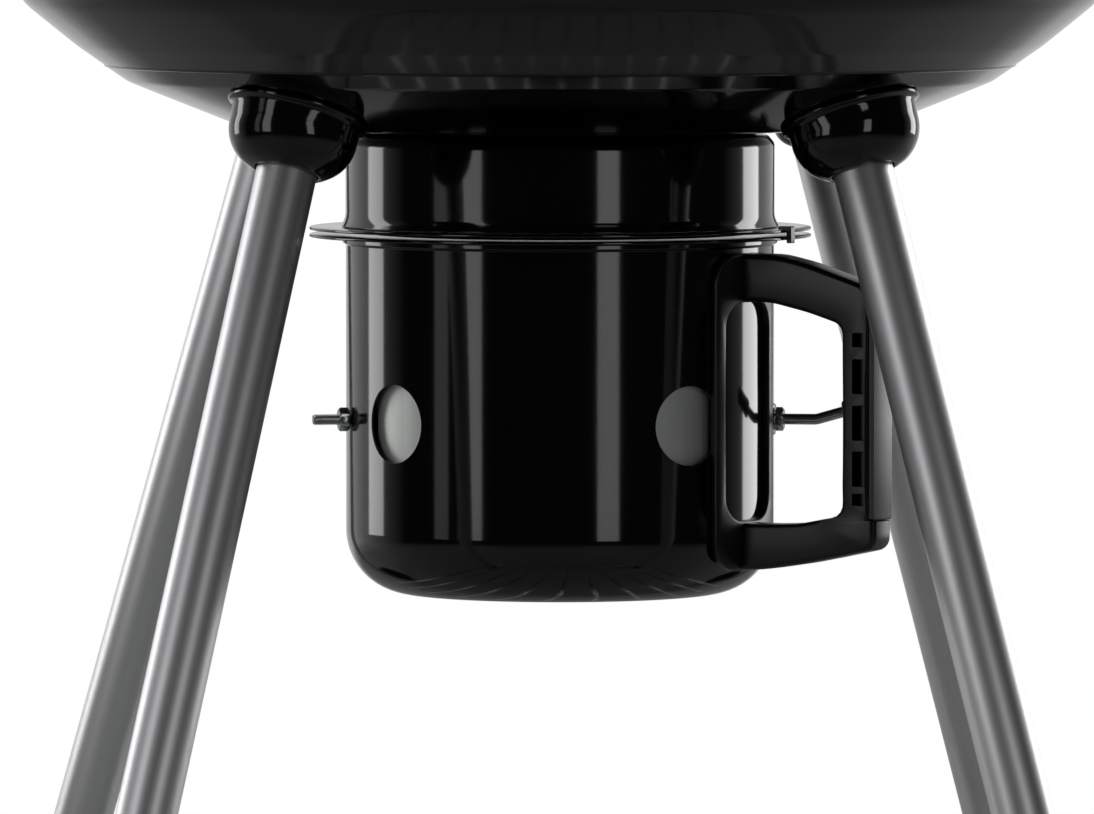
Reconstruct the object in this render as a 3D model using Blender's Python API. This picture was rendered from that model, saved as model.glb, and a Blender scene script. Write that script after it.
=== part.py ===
"""Kettle charcoal grill: enamelled kettle on four splayed tube legs, with an ash pot hung below it.

Metres, +Z up. The origin is on the floor under the kettle's axis, and the front is -Y.
An azimuth is in degrees round +Z, 0 at the front (-Y) and 90 at the right (+X).
"""

from math import asin, atan2, ceil, cos, hypot, pi, radians, sin, sqrt, tan

import bmesh
import bpy
from mathutils import Matrix, Vector

GAP = 0.0003  # left between two solids that touch
SHEET = 0.0012  # enamelled steel sheet

# Kettle bowl, as radii and heights of its outer surface.
THROAT_R = 0.095
BOWL_FLOOR_Z = 0.5637
BOWL_LOWER = [(0.1137, 0.5645), (0.1690, 0.5673), (0.1749, 0.5697), (0.2290, 0.5912)]
BOWL_STEP = [(0.2400, 0.5988), (0.2412, 0.5991), (0.2418, 0.6003)]
BOWL_CONE_TOP = (0.2796, 0.6291)
BOWL_SLOPE = 40.0
SHOULDER_R = 0.030
WALL_TOP = (0.2915, 0.7425)
RIM_Z = 0.7505
RIM_OUT = 0.2975

# Collar, ring plates and ash pot.
COLLAR_R = 0.1137
COLLAR_TOP = 0.5633
COLLAR_END = 0.5143
COLLAR_FLARE_Z = 0.5190  # where the collar starts to flare
PLATE_IN = 0.1000
PLATE_R = 0.1330
PLATE_T = 0.0014
COLLAR_PLATE_Z = 0.5126
POT_PLATE_Z = 0.5088
POT_R = 0.1135
POT_RIM_Z = 0.5085
POT_FLOOR_Z = 0.3195
POT_CORNER = 0.034
VENT_Z = 0.4127
VENT_R = 0.0208
VENT_AZ = [-53.6, 33.5, 126.4, 213.5]
DAMPER_TURN = 22.0
SLEEVE_R = 0.1090
SLOT_HALF = 0.0034
PUNCH = (0.100, 0.125)  # radii between which a cutter goes through the wall
SLEEVE_HALF = 0.0280

# Damper lever and stud.
ROD_R = 0.0029
LEVER_AZ = 77.3
LEVER_BEND_R = 0.1375
LEVER_END_R = 0.1600
LEVER_RISE = 16.0
STUD_AZ = -81.2
STUD_END_R = 0.1335

# Pot handle, in its own plane: X away from the pot's axis, Z up.
HANDLE_AZ = 55.8
HANDLE_HALF = 0.0095
FRAME_HALF = 0.0295
WINDOW_HALF = 0.0220
FRAME_T = 0.0035
HANDLE_TOP = 0.5018
HANDLE_BOTTOM = 0.3355
GRIP_IN = 0.1768
GRIP_OUT = 0.1935
COVER_T = 0.0034
COVER_Z = (0.3640, 0.4780)
HANDLE_SCREW_Z = [0.3530, 0.4890]
WINDOW_Z = (0.3613, 0.4762)
POCKET_X = (0.1835, 0.1910)
POCKETS_Z = [(0.3716, 0.3780), (0.3816, 0.4000), (0.4057, 0.4240), (0.4300, 0.4483), (0.4545, 0.4620)]

# Legs: a point of the leg's axis near the top, and what it moves out per metre down.
TUBE_R = 0.0158
TUBE_WALL = 0.0015
LEG_TOP_Z = 0.5640
FRONT_CUP = {"r": 0.0338, "flange": 0.0372, "end": 0.5460, "corner": 0.0225, "shift": 0.0010}
REAR_CUP = {"r": 0.0235, "flange": 0.0262, "end": 0.5560, "corner": 0.0120, "shift": 0.0}
FRONT_LEG = {"at": (0.1531, 0.1450, 0.5321), "out": (0.2303, 0.2750), "end": 0.0120, "cup": FRONT_CUP}
REAR_LEG = {"at": (0.1584, 0.1450, 0.5223), "out": (0.2697, 0.2034), "end": 0.0520, "cup": REAR_CUP}
BOLT_HOLE = 0.0043
SOCKET_WALL = 0.0020
HOLDER_WALL = 0.0030
BOLT_LIFT = 0.0012
BORE_GAP = 0.0006

# Wheels, feet and shelf.
WHEEL_R = 0.0750
WHEEL_HALF = 0.0150
TYRE_IN = 0.0630
AXLE_R = 0.0050
HUB_GAP = 0.0080
FOOT_R = 0.0190
FOOT_H = 0.0350
SHELF_Z = 0.1400
SHELF_WIRE = 0.0030
SHELF_THIN = 0.0024
SHELF_PITCH = 0.0400
SHELF_COUNT = 9
SHELF_SIDE_X = 0.200

# Grates and the straps that carry them.
STRAP_AZ = [30.0, 150.0, 270.0]
STRAP_W = 0.0160
STRAP_T = 0.0025
LOW_TAB_Z = 0.6065
HIGH_TAB_Z = 0.7120
COAL_R = 0.2160
COAL_WIRE = 0.0032
GRATE_R = 0.2740
GRATE_WIRE = 0.0028
HINGE_X = 0.1650
FLAP_LIFT = 0.0014

# Lid.
LID_Z = 0.7580
LID_R = 0.2890
LID_H = 0.1720
LID_ROUND = 2.3
LID_DAMPER_AZ = 215.0
LID_DAMPER_ARC = 62.0
DAMPER_DISC_R = 0.0420
THERMO_AZ = 0.0
THERMO_ARC = 34.0

ROUND = 40  # sides of the large turned pieces


def clearScene():
    for obj in list(bpy.data.objects):
        bpy.data.objects.remove(obj, do_unlink=True)


def makeMaterial(name, colour, roughness, metallic):
    material = bpy.data.materials.new(name)
    material.use_nodes = True
    material.diffuse_color = (*colour, 1.0)
    shader = material.node_tree.nodes["Principled BSDF"]
    shader.inputs["Base Color"].default_value = (*colour, 1.0)
    shader.inputs["Roughness"].default_value = roughness
    shader.inputs["Metallic"].default_value = metallic
    return material


def around(azimuth, radius, z):
    """The point at this azimuth and radius from the kettle's axis."""
    a = radians(azimuth)
    return Vector((radius * sin(a), -radius * cos(a), z))


def facing(azimuth):
    """The turn about Z that takes +X to this azimuth."""
    return radians(azimuth - 90.0)


def arc(centre, radius, start, end, steps):
    """Points of a round stretch in a section, angles in degrees from +X."""
    angles = [radians(start + (end - start) * i / steps) for i in range(steps + 1)]
    return [(centre[0] + radius * cos(a), centre[1] + radius * sin(a)) for a in angles]


def roundedOutline(corners, radii, steps=4):
    """A closed outline through these corners, each rounded by its radius."""
    outline = []
    for i, corner in enumerate(corners):
        here = Vector(corner)
        back = (Vector(corners[i - 1]) - here).normalized()
        ahead = (Vector(corners[(i + 1) % len(corners)]) - here).normalized()
        radius = radii[i]
        if radius == 0:
            outline.append(tuple(here))
            continue
        half = back.angle(ahead) / 2
        centre = here + (back + ahead).normalized() * radius / sin(half)
        first = here + back * radius / tan(half) - centre
        last = here + ahead * radius / tan(half) - centre
        for k in range(steps + 1):
            spoke = first.lerp(last, k / steps).normalized() * radius
            outline.append(tuple(centre + spoke))
    return outline


def meshOf(bm, name="piece"):
    bmesh.ops.recalc_face_normals(bm, faces=bm.faces)
    mesh = bpy.data.meshes.new(name)
    bm.to_mesh(mesh)
    bm.free()
    return mesh


def turned(section, steps=ROUND, closed=True):
    """A solid turned about Z from a section of (radius, z) points, closed or ending on the axis."""
    bm = bmesh.new()
    verts = [bm.verts.new((r, 0, z)) for r, z in section]
    edges = [bm.edges.new(pair) for pair in zip(verts, verts[1:])]
    if closed:
        edges.append(bm.edges.new((verts[-1], verts[0])))
    bmesh.ops.spin(bm, geom=verts + edges, axis=(0, 0, 1), cent=(0, 0, 0), angle=2 * pi,
                   steps=steps, use_merge=True)
    bmesh.ops.remove_doubles(bm, verts=bm.verts, dist=1e-6)
    return meshOf(bm)


def rod(radius, z0, z1, steps=24):
    return turned([(0, z0), (radius, z0), (radius, z1), (0, z1)], steps, closed=False)


def hexagon(size, z0, z1):
    """A hexagonal prism, size across its corners."""
    return rod(size / 2, z0, z1, 6)


def prism(outline, y0, y1):
    """An outline in XZ, extruded along Y."""
    bm = bmesh.new()
    face = bm.faces.new([bm.verts.new((x, y0, z)) for x, z in outline])
    pushed = bmesh.ops.extrude_face_region(bm, geom=[face])
    verts = [v for v in pushed["geom"] if isinstance(v, bmesh.types.BMVert)]
    bmesh.ops.translate(bm, verts=verts, vec=(0, y1 - y0, 0))
    return meshOf(bm)


def box(low, high):
    corners = [(low[0], low[2]), (high[0], low[2]), (high[0], high[2]), (low[0], high[2])]
    return prism(corners, low[1], high[1])


def swept(points, radius, sides, closed=False, turn=0.0):
    """A round bar along these points, with flat ends, or a closed loop."""
    bm = bmesh.new()
    points = [Vector(p) for p in points]
    count = len(points)
    rings = []
    up = None
    for i, point in enumerate(points):
        if closed:
            ahead = (points[(i + 1) % count] - points[i - 1]).normalized()
        else:
            ahead = (points[min(i + 1, count - 1)] - points[max(i - 1, 0)]).normalized()
        if up is None:
            up = Vector((0, 0, 1)) if abs(ahead.z) < 0.9 else Vector((0, 1, 0))
        side = ahead.cross(up).normalized()
        up = side.cross(ahead)
        ring = []
        for k in range(sides):
            a = 2 * pi * k / sides + turn
            ring.append(bm.verts.new(point + radius * (cos(a) * side + sin(a) * up)))
        rings.append(ring)
    last = count if closed else count - 1
    for i in range(last):
        near, far = rings[i], rings[(i + 1) % count]
        for k in range(sides):
            j = (k + 1) % sides
            bm.faces.new((near[k], near[j], far[j], far[k]))
    if not closed:
        bm.faces.new(rings[0])
        bm.faces.new(rings[-1])
    return meshOf(bm)


def ringPath(radius, z, steps):
    turns = [2 * pi * i / steps for i in range(steps)]
    return [(radius * cos(a), radius * sin(a), z) for a in turns]


def moved(mesh, matrix):
    mesh.transform(matrix)
    return mesh


def joined(meshes):
    """One mesh that holds several separate bodies, for use as a Boolean's second shape."""
    bm = bmesh.new()
    for mesh in meshes:
        bm.from_mesh(mesh)
        bpy.data.meshes.remove(mesh)
    mesh = bpy.data.meshes.new("joined")
    bm.to_mesh(mesh)
    bm.free()
    return mesh


def combined(mesh, tool, operation):
    """The first mesh after a Boolean with the second."""
    target = bpy.data.objects.new("target", mesh)
    cutter = bpy.data.objects.new("cutter", tool)
    for obj in (target, cutter):
        bpy.context.scene.collection.objects.link(obj)
    modifier = target.modifiers.new("boolean", "BOOLEAN")
    modifier.operation = operation
    modifier.object = cutter
    bpy.context.view_layer.update()
    graph = bpy.context.evaluated_depsgraph_get()
    result = bpy.data.meshes.new_from_object(target.evaluated_get(graph))
    for obj in (target, cutter):
        bpy.data.objects.remove(obj, do_unlink=True)
    bpy.data.meshes.remove(mesh)
    bpy.data.meshes.remove(tool)
    return result


def cut(mesh, *tools):
    for tool in tools:
        mesh = combined(mesh, tool, "DIFFERENCE")
    return mesh


def merged(mesh, *others):
    for other in others:
        mesh = combined(mesh, other, "UNION")
    return mesh


def bevelled(mesh, width, segments, limit=40.0):
    """The mesh with its sharp edges rounded."""
    obj = bpy.data.objects.new("bevelled", mesh)
    bpy.context.scene.collection.objects.link(obj)
    modifier = obj.modifiers.new("bevel", "BEVEL")
    modifier.width = width
    modifier.segments = segments
    modifier.limit_method = "ANGLE"
    modifier.angle_limit = radians(limit)
    bpy.context.view_layer.update()
    graph = bpy.context.evaluated_depsgraph_get()
    result = bpy.data.meshes.new_from_object(obj.evaluated_get(graph))
    bpy.data.objects.remove(obj, do_unlink=True)
    bpy.data.meshes.remove(mesh)
    return result


def empty(name, parent=None, location=(0, 0, 0), turn=0.0):
    obj = bpy.data.objects.new(name, None)
    bpy.context.scene.collection.objects.link(obj)
    obj.parent = parent
    obj.location = location
    obj.rotation_euler = (0, 0, turn)
    return obj


def place(name, mesh, material, parent, location=(0, 0, 0), rotation=(0, 0, 0), sharp=35.0):
    """The finished object of one piece."""
    mesh.name = name
    mesh.materials.clear()
    mesh.materials.append(material)
    mesh.shade_smooth()
    mesh.set_sharp_from_angle(angle=radians(sharp))
    obj = bpy.data.objects.new(name, mesh)
    bpy.context.scene.collection.objects.link(obj)
    obj.parent = parent
    obj.location = location
    obj.rotation_euler = rotation
    return obj


def offsetSection(section, distance):
    """The section moved to its left by a distance, point by point."""
    moved_points = []
    for i, (r, z) in enumerate(section):
        before = section[max(i - 1, 0)]
        after = section[min(i + 1, len(section) - 1)]
        along = Vector((after[0] - before[0], after[1] - before[1])).normalized()
        moved_points.append((r - along.y * distance, z + along.x * distance))
    return moved_points


def bowlSection():
    """The bowl's outer surface, from the throat up to the rim's underside."""
    slope = radians(BOWL_SLOPE)
    centre = (BOWL_CONE_TOP[0] - SHOULDER_R * sin(slope), BOWL_CONE_TOP[1] + SHOULDER_R * cos(slope))
    shoulder = arc(centre, SHOULDER_R, BOWL_SLOPE - 90, 0, 4)
    middle = (0.2555, 0.6099)
    points = [(THROAT_R, BOWL_FLOOR_Z), *BOWL_LOWER[:3], (0.2018, 0.5803), BOWL_LOWER[3]]
    return [*points, *BOWL_STEP, middle, *shoulder, (0.2908, 0.6950), WALL_TOP]


def bowlSolid(offset):
    """A solid plug of everything above the bowl's outer surface, moved out by an offset."""
    section = offsetSection(bowlSection(), -offset)
    section = [(0, section[0][1]), *section, (section[-1][0], RIM_Z), (0, RIM_Z)]
    return turned(section, ROUND, closed=False)


def legAxis(leg, side, front, z):
    """The point of a leg's axis at height z; side is -1 or 1, front is 1 or -1."""
    x, y, top = leg["at"]
    drop = top - z
    return Vector((side * (x + leg["out"][0] * drop), -front * (y + leg["out"][1] * drop), z))


def along(start, end):
    """The matrix that takes the Z axis to the line from start to end, origin at start."""
    turn = (Vector(end) - Vector(start)).to_track_quat("Z", "Y").to_matrix().to_4x4()
    return Matrix.Translation(Vector(start)) @ turn


LEGS = [("front_left", FRONT_LEG, -1, 1), ("front_right", FRONT_LEG, 1, 1),
        ("rear_left", REAR_LEG, -1, -1), ("rear_right", REAR_LEG, 1, -1)]


def legFrame(leg, side, front):
    """The matrix with its origin at the socket's lower end and Z up along the leg."""
    low = legAxis(leg, side, front, leg["cup"]["end"])
    return along(low, legAxis(leg, side, front, leg["cup"]["end"] + 0.05))


def buildBowl(material, parent):
    outer = bowlSection()
    inner = offsetSection([p for p in outer if p not in BOWL_STEP and p[0] != BOWL_LOWER[0][0]], SHEET)
    inner[0] = (THROAT_R, BOWL_FLOOR_Z + SHEET)
    rim = [(RIM_OUT - 0.002, 0.7425), (RIM_OUT, 0.7445), (RIM_OUT, 0.7485), (RIM_OUT - 0.002, RIM_Z)]
    shell = turned([*outer, *rim, *reversed(inner)])
    bolt_hole = (BOLT_HOLE, 0.0, 0.06, 10)
    holes = [moved(rod(*bolt_hole), legFrame(leg, side, front)) for _, leg, side, front in LEGS]
    place("bowl", cut(shell, joined(holes)), material, parent)


def buildCollar(enamel, parent):
    outer = [(0.1044, COLLAR_TOP), (0.1100, COLLAR_TOP - 0.0010), (0.1130, COLLAR_TOP - 0.0030)]
    outer += [(COLLAR_R, COLLAR_TOP - 0.0060), (COLLAR_R, COLLAR_FLARE_Z)]
    outer += [(0.1148, 0.5160), (0.1162, COLLAR_END)]
    inside = COLLAR_R - SHEET
    inner = [(0.1148, COLLAR_END), (inside, COLLAR_FLARE_Z), (inside, COLLAR_TOP - 0.0055)]
    inner.append((0.1044, COLLAR_TOP - 0.0015))
    place("ash_collar", turned([*outer, *inner]), enamel, parent)


def ringPlate(z):
    top = z + PLATE_T
    return turned([(PLATE_IN, z), (PLATE_R, z), (PLATE_R, top), (PLATE_IN, top)])


def aimed(mesh, azimuth, z):
    """A mesh whose Z axis is turned outward at this azimuth, at height z."""
    return moved(mesh, Matrix.Translation((0, 0, z)) @ along((0, 0, 0), around(azimuth, 1, 0)))


def buildClip(material, parent):
    """A small hooked tab at the edge of the two ring plates."""
    top = COLLAR_PLATE_Z + PLATE_T + GAP
    outline = [(0.1285, top), (PLATE_R + 0.0006, top), (PLATE_R + 0.0006, 0.5072), (0.1362, 0.5072)]
    outline += [(0.1362, top + 0.0018), (0.1285, top + 0.0018)]
    place("latch_clip", prism(outline, -0.0024, 0.0024), material, parent,
          rotation=(0, 0, facing(60.8)))


def buildPot(material, parent):
    floor_r = POT_R - POT_CORNER
    corner_z = POT_FLOOR_Z + POT_CORNER
    inside = POT_R - SHEET
    rim = [(inside, POT_RIM_Z), (POT_R + 0.0008, POT_RIM_Z), (POT_R + 0.0018, POT_RIM_Z - 0.0008)]
    rim += [(POT_R + 0.0018, POT_RIM_Z - 0.0026), (POT_R, POT_RIM_Z - 0.0038)]
    outer = arc((floor_r, corner_z), POT_CORNER, 0, -90, 6)
    inner = arc((floor_r, corner_z), POT_CORNER - SHEET, -90, 0, 4)
    section = [*rim, *outer, (0, POT_FLOOR_Z), (0, POT_FLOOR_Z + SHEET), *inner]
    pot = turned([*section, (inside, POT_RIM_Z)], ROUND, closed=False)
    vents = []
    for azimuth in VENT_AZ:
        vents.append(aimed(rod(VENT_R, *PUNCH, 28), azimuth, VENT_Z))
    bolt_holes = [aimed(rod(0.0033, *PUNCH, 10), STUD_AZ, VENT_Z)]
    for z in HANDLE_SCREW_Z:
        bolt_holes.append(aimed(rod(0.0024, *PUNCH, 8), HANDLE_AZ, z))
    slot = sectorSlot(LEVER_AZ - 2.0, LEVER_AZ + DAMPER_TURN + 2.0, 0.105, 0.120,
                      VENT_Z - SLOT_HALF, VENT_Z + SLOT_HALF)
    place("ash_pot", cut(pot, joined([*vents, *bolt_holes, slot])), material, parent)


def sectorSlot(low, high, r0, r1, z0, z1):
    """A curved block between two azimuths, as a cutter for a slot in a round wall."""
    steps = max(4, ceil((high - low) / 3.0))
    bm = bmesh.new()
    rings = []
    for i in range(steps + 1):
        azimuth = low + (high - low) * i / steps
        corners = [(r0, z0), (r1, z0), (r1, z1), (r0, z1)]
        rings.append([bm.verts.new(around(azimuth, r, z)) for r, z in corners])
    for near, far in zip(rings, rings[1:]):
        for k in range(4):
            j = (k + 1) % 4
            bm.faces.new((near[k], near[j], far[j], far[k]))
    bm.faces.new(rings[0])
    bm.faces.new(rings[-1])
    return meshOf(bm)


def buildSleeve(steel, zinc, black, parent):
    """The inner ring that shuts the air holes, its lever, and the stud beside it."""
    inside = SLEEVE_R - SHEET
    low, high = VENT_Z - SLEEVE_HALF, VENT_Z + SLEEVE_HALF
    ring = turned([(SLEEVE_R, high), (SLEEVE_R, low), (inside, low), (inside, high)])
    holes = [aimed(rod(VENT_R, 0.100, 0.120, 18), a - DAMPER_TURN, VENT_Z) for a in VENT_AZ]
    holes.append(aimed(rod(ROD_R + GAP, 0.100, 0.120, 12), LEVER_AZ, VENT_Z))
    turn = empty("damper_axis", parent)
    place("damper_sleeve", cut(ring, joined(holes)), steel, turn)
    axis = empty("lever_line", turn, (0, 0, VENT_Z), facing(LEVER_AZ))
    bend = LEVER_END_R - LEVER_BEND_R
    tip = (LEVER_END_R, 0, bend * tan(radians(LEVER_RISE)))
    path = [(0.1050, 0, 0), (LEVER_BEND_R - 0.004, 0, 0), (LEVER_BEND_R, 0, 0.0004), tip]
    place("damper_lever", swept(path, ROD_R, 12), zinc, axis)
    flange = rod(0.0078, POT_R + 0.0006, POT_R + 0.0018, 20)
    nut = merged(flange, hexagon(0.0128, POT_R + 0.0014, POT_R + 0.0062))
    nut = cut(nut, rod(ROD_R + GAP, 0.110, 0.130, 12))
    place("lever_nut", nut, zinc, axis, rotation=(0, pi / 2, 0))
    aim = Vector((bend, 0, tip[2])).normalized()
    cap_at = Vector(tip) - aim * 0.0080
    cap = rod(0.0055, 0.0, 0.0240, 16)
    cap = cut(bevelled(cap, 0.0012, 1), rod(ROD_R + GAP, -0.002, 0.0083, 12))
    place("lever_cap", cap, black, axis, cap_at, (0, atan2(aim.x, aim.z), 0))


def buildStud(zinc, parent):
    axis = empty("stud_line", parent, (0, 0, VENT_Z), facing(STUD_AZ))
    head = rod(0.0060, POT_R - SHEET - 0.0024, POT_R - SHEET - 0.0010, 16)
    shank = rod(0.0030, POT_R - SHEET - 0.0016, STUD_END_R, 12)
    place("guide_stud", merged(head, shank), zinc, axis, rotation=(0, pi / 2, 0))
    nut = hexagon(0.0128, POT_R + 0.0006, POT_R + 0.0062)
    nut = cut(bevelled(nut, 0.0005, 1), rod(0.0033, 0.110, 0.130, 14))
    place("stud_nut", nut, zinc, axis, rotation=(0, pi / 2, 0))


def handleLoop():
    """The two arms and the grip, as one outline with an opening."""
    outer = [(0.1150, HANDLE_TOP), (0.1350, HANDLE_TOP), (0.1545, 0.4977), (0.1730, 0.4924)]
    outer.append((0.1905, 0.4850))
    outer += [(GRIP_OUT, 0.4770), (GRIP_OUT, COVER_Z[0] - GAP), (GRIP_OUT + COVER_T, COVER_Z[0] - GAP)]
    outer += [(GRIP_OUT + COVER_T, 0.3490), (0.1853, 0.3465), (0.1545, 0.3402), (0.1300, 0.3363)]
    outer += [(0.1150, HANDLE_BOTTOM)]
    outer_radii = [0, 0, 0, 0, 0.010, 0, 0, 0, 0.009, 0, 0, 0, 0]
    inner = [(0.1100, 0.4767), (0.1330, 0.4767), (0.1550, 0.4720), (GRIP_IN, 0.4655), (GRIP_IN, 0.3660)]
    inner += [(0.1500, 0.3610), (0.1330, 0.3602), (0.1100, 0.3602)]
    inner_radii = [0, 0, 0, 0.013, 0.013, 0, 0, 0]
    body = prism(roundedOutline(outer, outer_radii), -HANDLE_HALF, HANDLE_HALF)
    body = cut(body, prism(roundedOutline(inner, inner_radii, 5), -0.02, 0.02))
    return body


def buildPotHandle(plastic, zinc, parent):
    axis = empty("handle_line", parent, turn=facing(HANDLE_AZ))
    inside = POT_R + GAP
    low, high = HANDLE_BOTTOM, HANDLE_TOP
    plate = turned([(inside, low), (inside + FRAME_T, low), (inside + FRAME_T, high), (inside, high)], 72)
    edge = [(-FRAME_HALF, low), (FRAME_HALF, low), (FRAME_HALF, high), (-FRAME_HALF, high)]
    sill, head = WINDOW_Z
    window = [(-WINDOW_HALF, sill), (WINDOW_HALF, sill), (WINDOW_HALF, head), (-WINDOW_HALF, head)]
    across = Matrix.Rotation(pi / 2, 4, "Z")
    outline = moved(prism(roundedOutline(edge, [0.016] * 4), -0.125, -0.095), across)
    opening = moved(prism(roundedOutline(window, [0.014] * 4), -0.130, -0.090), across)
    plate = cut(combined(plate, outline, "INTERSECT"), opening)
    loop = bevelled(handleLoop(), 0.0036, 1, 60.0)
    wall = turned([(0, 0.30), (inside + 0.0012, 0.30), (inside + 0.0012, 0.53), (0, 0.53)], 72, closed=False)
    seat = box((GRIP_OUT, -0.020, COVER_Z[0] - GAP), (0.220, 0.020, 0.520))
    loop = cut(loop, wall, seat)
    handle = merged(plate, loop)
    pockets = []
    for z0, z1 in POCKETS_Z:
        for side in (-1, 1):
            y0, y1 = sorted((side * 0.0035, side * 0.0120))
            pockets.append(box((POCKET_X[0], y0, z0), (POCKET_X[1], y1, z1)))
    screw_holes = []
    for z in HANDLE_SCREW_Z:
        hole = moved(rod(0.0020, 0.110, 0.1265, 8), Matrix.Rotation(pi / 2, 4, "Y"))
        screw_holes.append(moved(hole, Matrix.Translation((0, 0, z))))
    handle = cut(handle, joined([*pockets, *screw_holes]))
    place("pot_handle", handle, plastic, axis)
    x0, x1 = GRIP_OUT + GAP, GRIP_OUT + COVER_T
    cover = box((x0, -HANDLE_HALF, COVER_Z[0]), (x1, HANDLE_HALF, COVER_Z[1] - 0.002))
    place("grip_cover", bevelled(cover, 0.0012, 2), plastic, axis)
    for name, z in zip(("lower", "upper"), HANDLE_SCREW_Z):
        head = rod(0.0036, POT_R - SHEET - 0.0030, POT_R - SHEET - 0.0013, 12)
        screw = merged(head, rod(0.0017, POT_R - SHEET - 0.0020, 0.1260, 8))
        place(f"handle_screw_{name}", screw, zinc, axis, (0, 0, z), (0, pi / 2, 0))


def buildSocket(name, leg, side, front, material, parent):
    """A domed cup under the bowl, with a thin flange that follows the bowl."""
    frame = legFrame(leg, side, front)
    radius, bend = leg["cup"]["r"], leg["cup"]["corner"]
    outward = frame.to_3x3().inverted() @ Vector((side, 0, 0))
    shift = Matrix.Translation(Vector((outward.x, outward.y, 0)).normalized() * leg["cup"]["shift"])
    centre = (radius - bend, bend)
    corner = arc(centre, bend, -90, 0, 5)
    cup = turned([(0, 0), *corner, (radius, 0.080), (0, 0.080)], 20, closed=False)
    flange = moved(rod(leg["cup"]["flange"], 0.010, 0.075, 20), frame @ shift)
    flange = combined(flange, bowlSolid(0.0024), "INTERSECT")
    inside = radius - SOCKET_WALL
    corner = arc(centre, bend - SOCKET_WALL, -90, 0, 5)
    hollow = turned([(0, SOCKET_WALL), *corner, (inside, 0.090), (0, 0.090)], 20, closed=False)
    cup = cut(merged(moved(cup, frame @ shift), flange), bowlSolid(GAP))
    reach = legReach(leg, LEG_TOP_Z)
    sleeve = moved(rod(TUBE_R + HOLDER_WALL, 0, reach + HOLDER_WALL, 18), frame)
    cup = cut(cup, cut(moved(hollow, frame @ shift), sleeve))
    bore = moved(rod(TUBE_R + BORE_GAP, -0.010, reach + GAP, 20), frame)
    hole = moved(rod(BOLT_HOLE, 0.0, 0.060, 10), frame)
    place(f"socket_{name}", cut(cup, bore, hole), material, parent)


def buildLeg(name, leg, side, front, steel, zinc, parent):
    low = legAxis(leg, side, front, leg["end"])
    high = legAxis(leg, side, front, LEG_TOP_Z)
    length = (high - low).length
    outline = [(TUBE_R, length), (TUBE_R, 0), (TUBE_R - TUBE_WALL, 0), (TUBE_R - TUBE_WALL, length)]
    tube = moved(turned(outline, 24), along(low, high))
    if front < 0:
        axle = moved(rod(AXLE_R + GAP, -0.06, 0.06, 12), Matrix.Rotation(pi / 2, 4, "Y"))
        centre = legAxis(leg, side, front, WHEEL_R)
        tube = cut(tube, moved(axle, Matrix.Translation(centre)))
    place(f"leg_{name}", tube, steel, parent)
    frame = legFrame(leg, side, front)
    seat = boltSeat(leg)
    bolt = merged(hexagon(0.0150, seat, seat + 0.0055), rod(0.0040, -0.004, seat + 0.002, 12))
    place(f"leg_bolt_{name}", moved(bolt, frame), zinc, parent)


def legReach(leg, z):
    """How far along the leg's axis height z is from the socket's lower end."""
    return (legAxis(leg, 1, 1, z) - legAxis(leg, 1, 1, leg["cup"]["end"])).length


def bowlHeight(radius):
    """The height of the bowl's outer surface at this radius."""
    section = bowlSection()
    for (r0, z0), (r1, z1) in zip(section, section[1:]):
        if r0 <= radius <= r1:
            return z0 + (z1 - z0) * (radius - r0) / (r1 - r0)
    return WALL_TOP[1]


def boltSeat(leg):
    """How far along the leg's axis a bolt head rests on the bowl's inner surface."""
    z = leg["cup"]["end"]
    while z < bowlHeight(hypot(*legAxis(leg, 1, 1, z).xy)):
        z += 0.0001
    return legReach(leg, z) + SHEET + BOLT_LIFT


def buildFoot(name, side, rubber, parent):
    low = legAxis(FRONT_LEG, side, 1, 0)
    high = legAxis(FRONT_LEG, side, 1, FOOT_H)
    sleeve = moved(rod(FOOT_R, -0.02, (high - low).length, 20), along(low, high))
    sleeve = cut(sleeve, box((low.x - 0.06, low.y - 0.06, -0.06), (low.x + 0.06, low.y + 0.06, 0)))
    end = legAxis(FRONT_LEG, side, 1, FRONT_LEG["end"])
    bore = moved(rod(TUBE_R + BORE_GAP, -GAP, 0.08, 20), along(end, high))
    place(f"foot_cap_{name}", cut(sleeve, bore), rubber, parent)


def buildPlug(name, side, plastic, parent):
    end = legAxis(REAR_LEG, side, -1, REAR_LEG["end"])
    down = legAxis(REAR_LEG, side, -1, REAR_LEG["end"] - 0.02)
    bead = [(0, GAP), (TUBE_R, GAP), (TUBE_R, 0.0020), (TUBE_R - 0.002, 0.0040), (0, 0.0045)]
    plug = merged(turned(bead, 16, closed=False), rod(TUBE_R - TUBE_WALL - BORE_GAP, -0.008, 0.002, 16))
    place(f"leg_plug_{name}", moved(plug, along(end, down)), plastic, parent)


def wheelCentre(side):
    centre = legAxis(REAR_LEG, side, -1, WHEEL_R)
    return centre + Vector((side * (TUBE_R + HUB_GAP + WHEEL_HALF), 0, 0))


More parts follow.
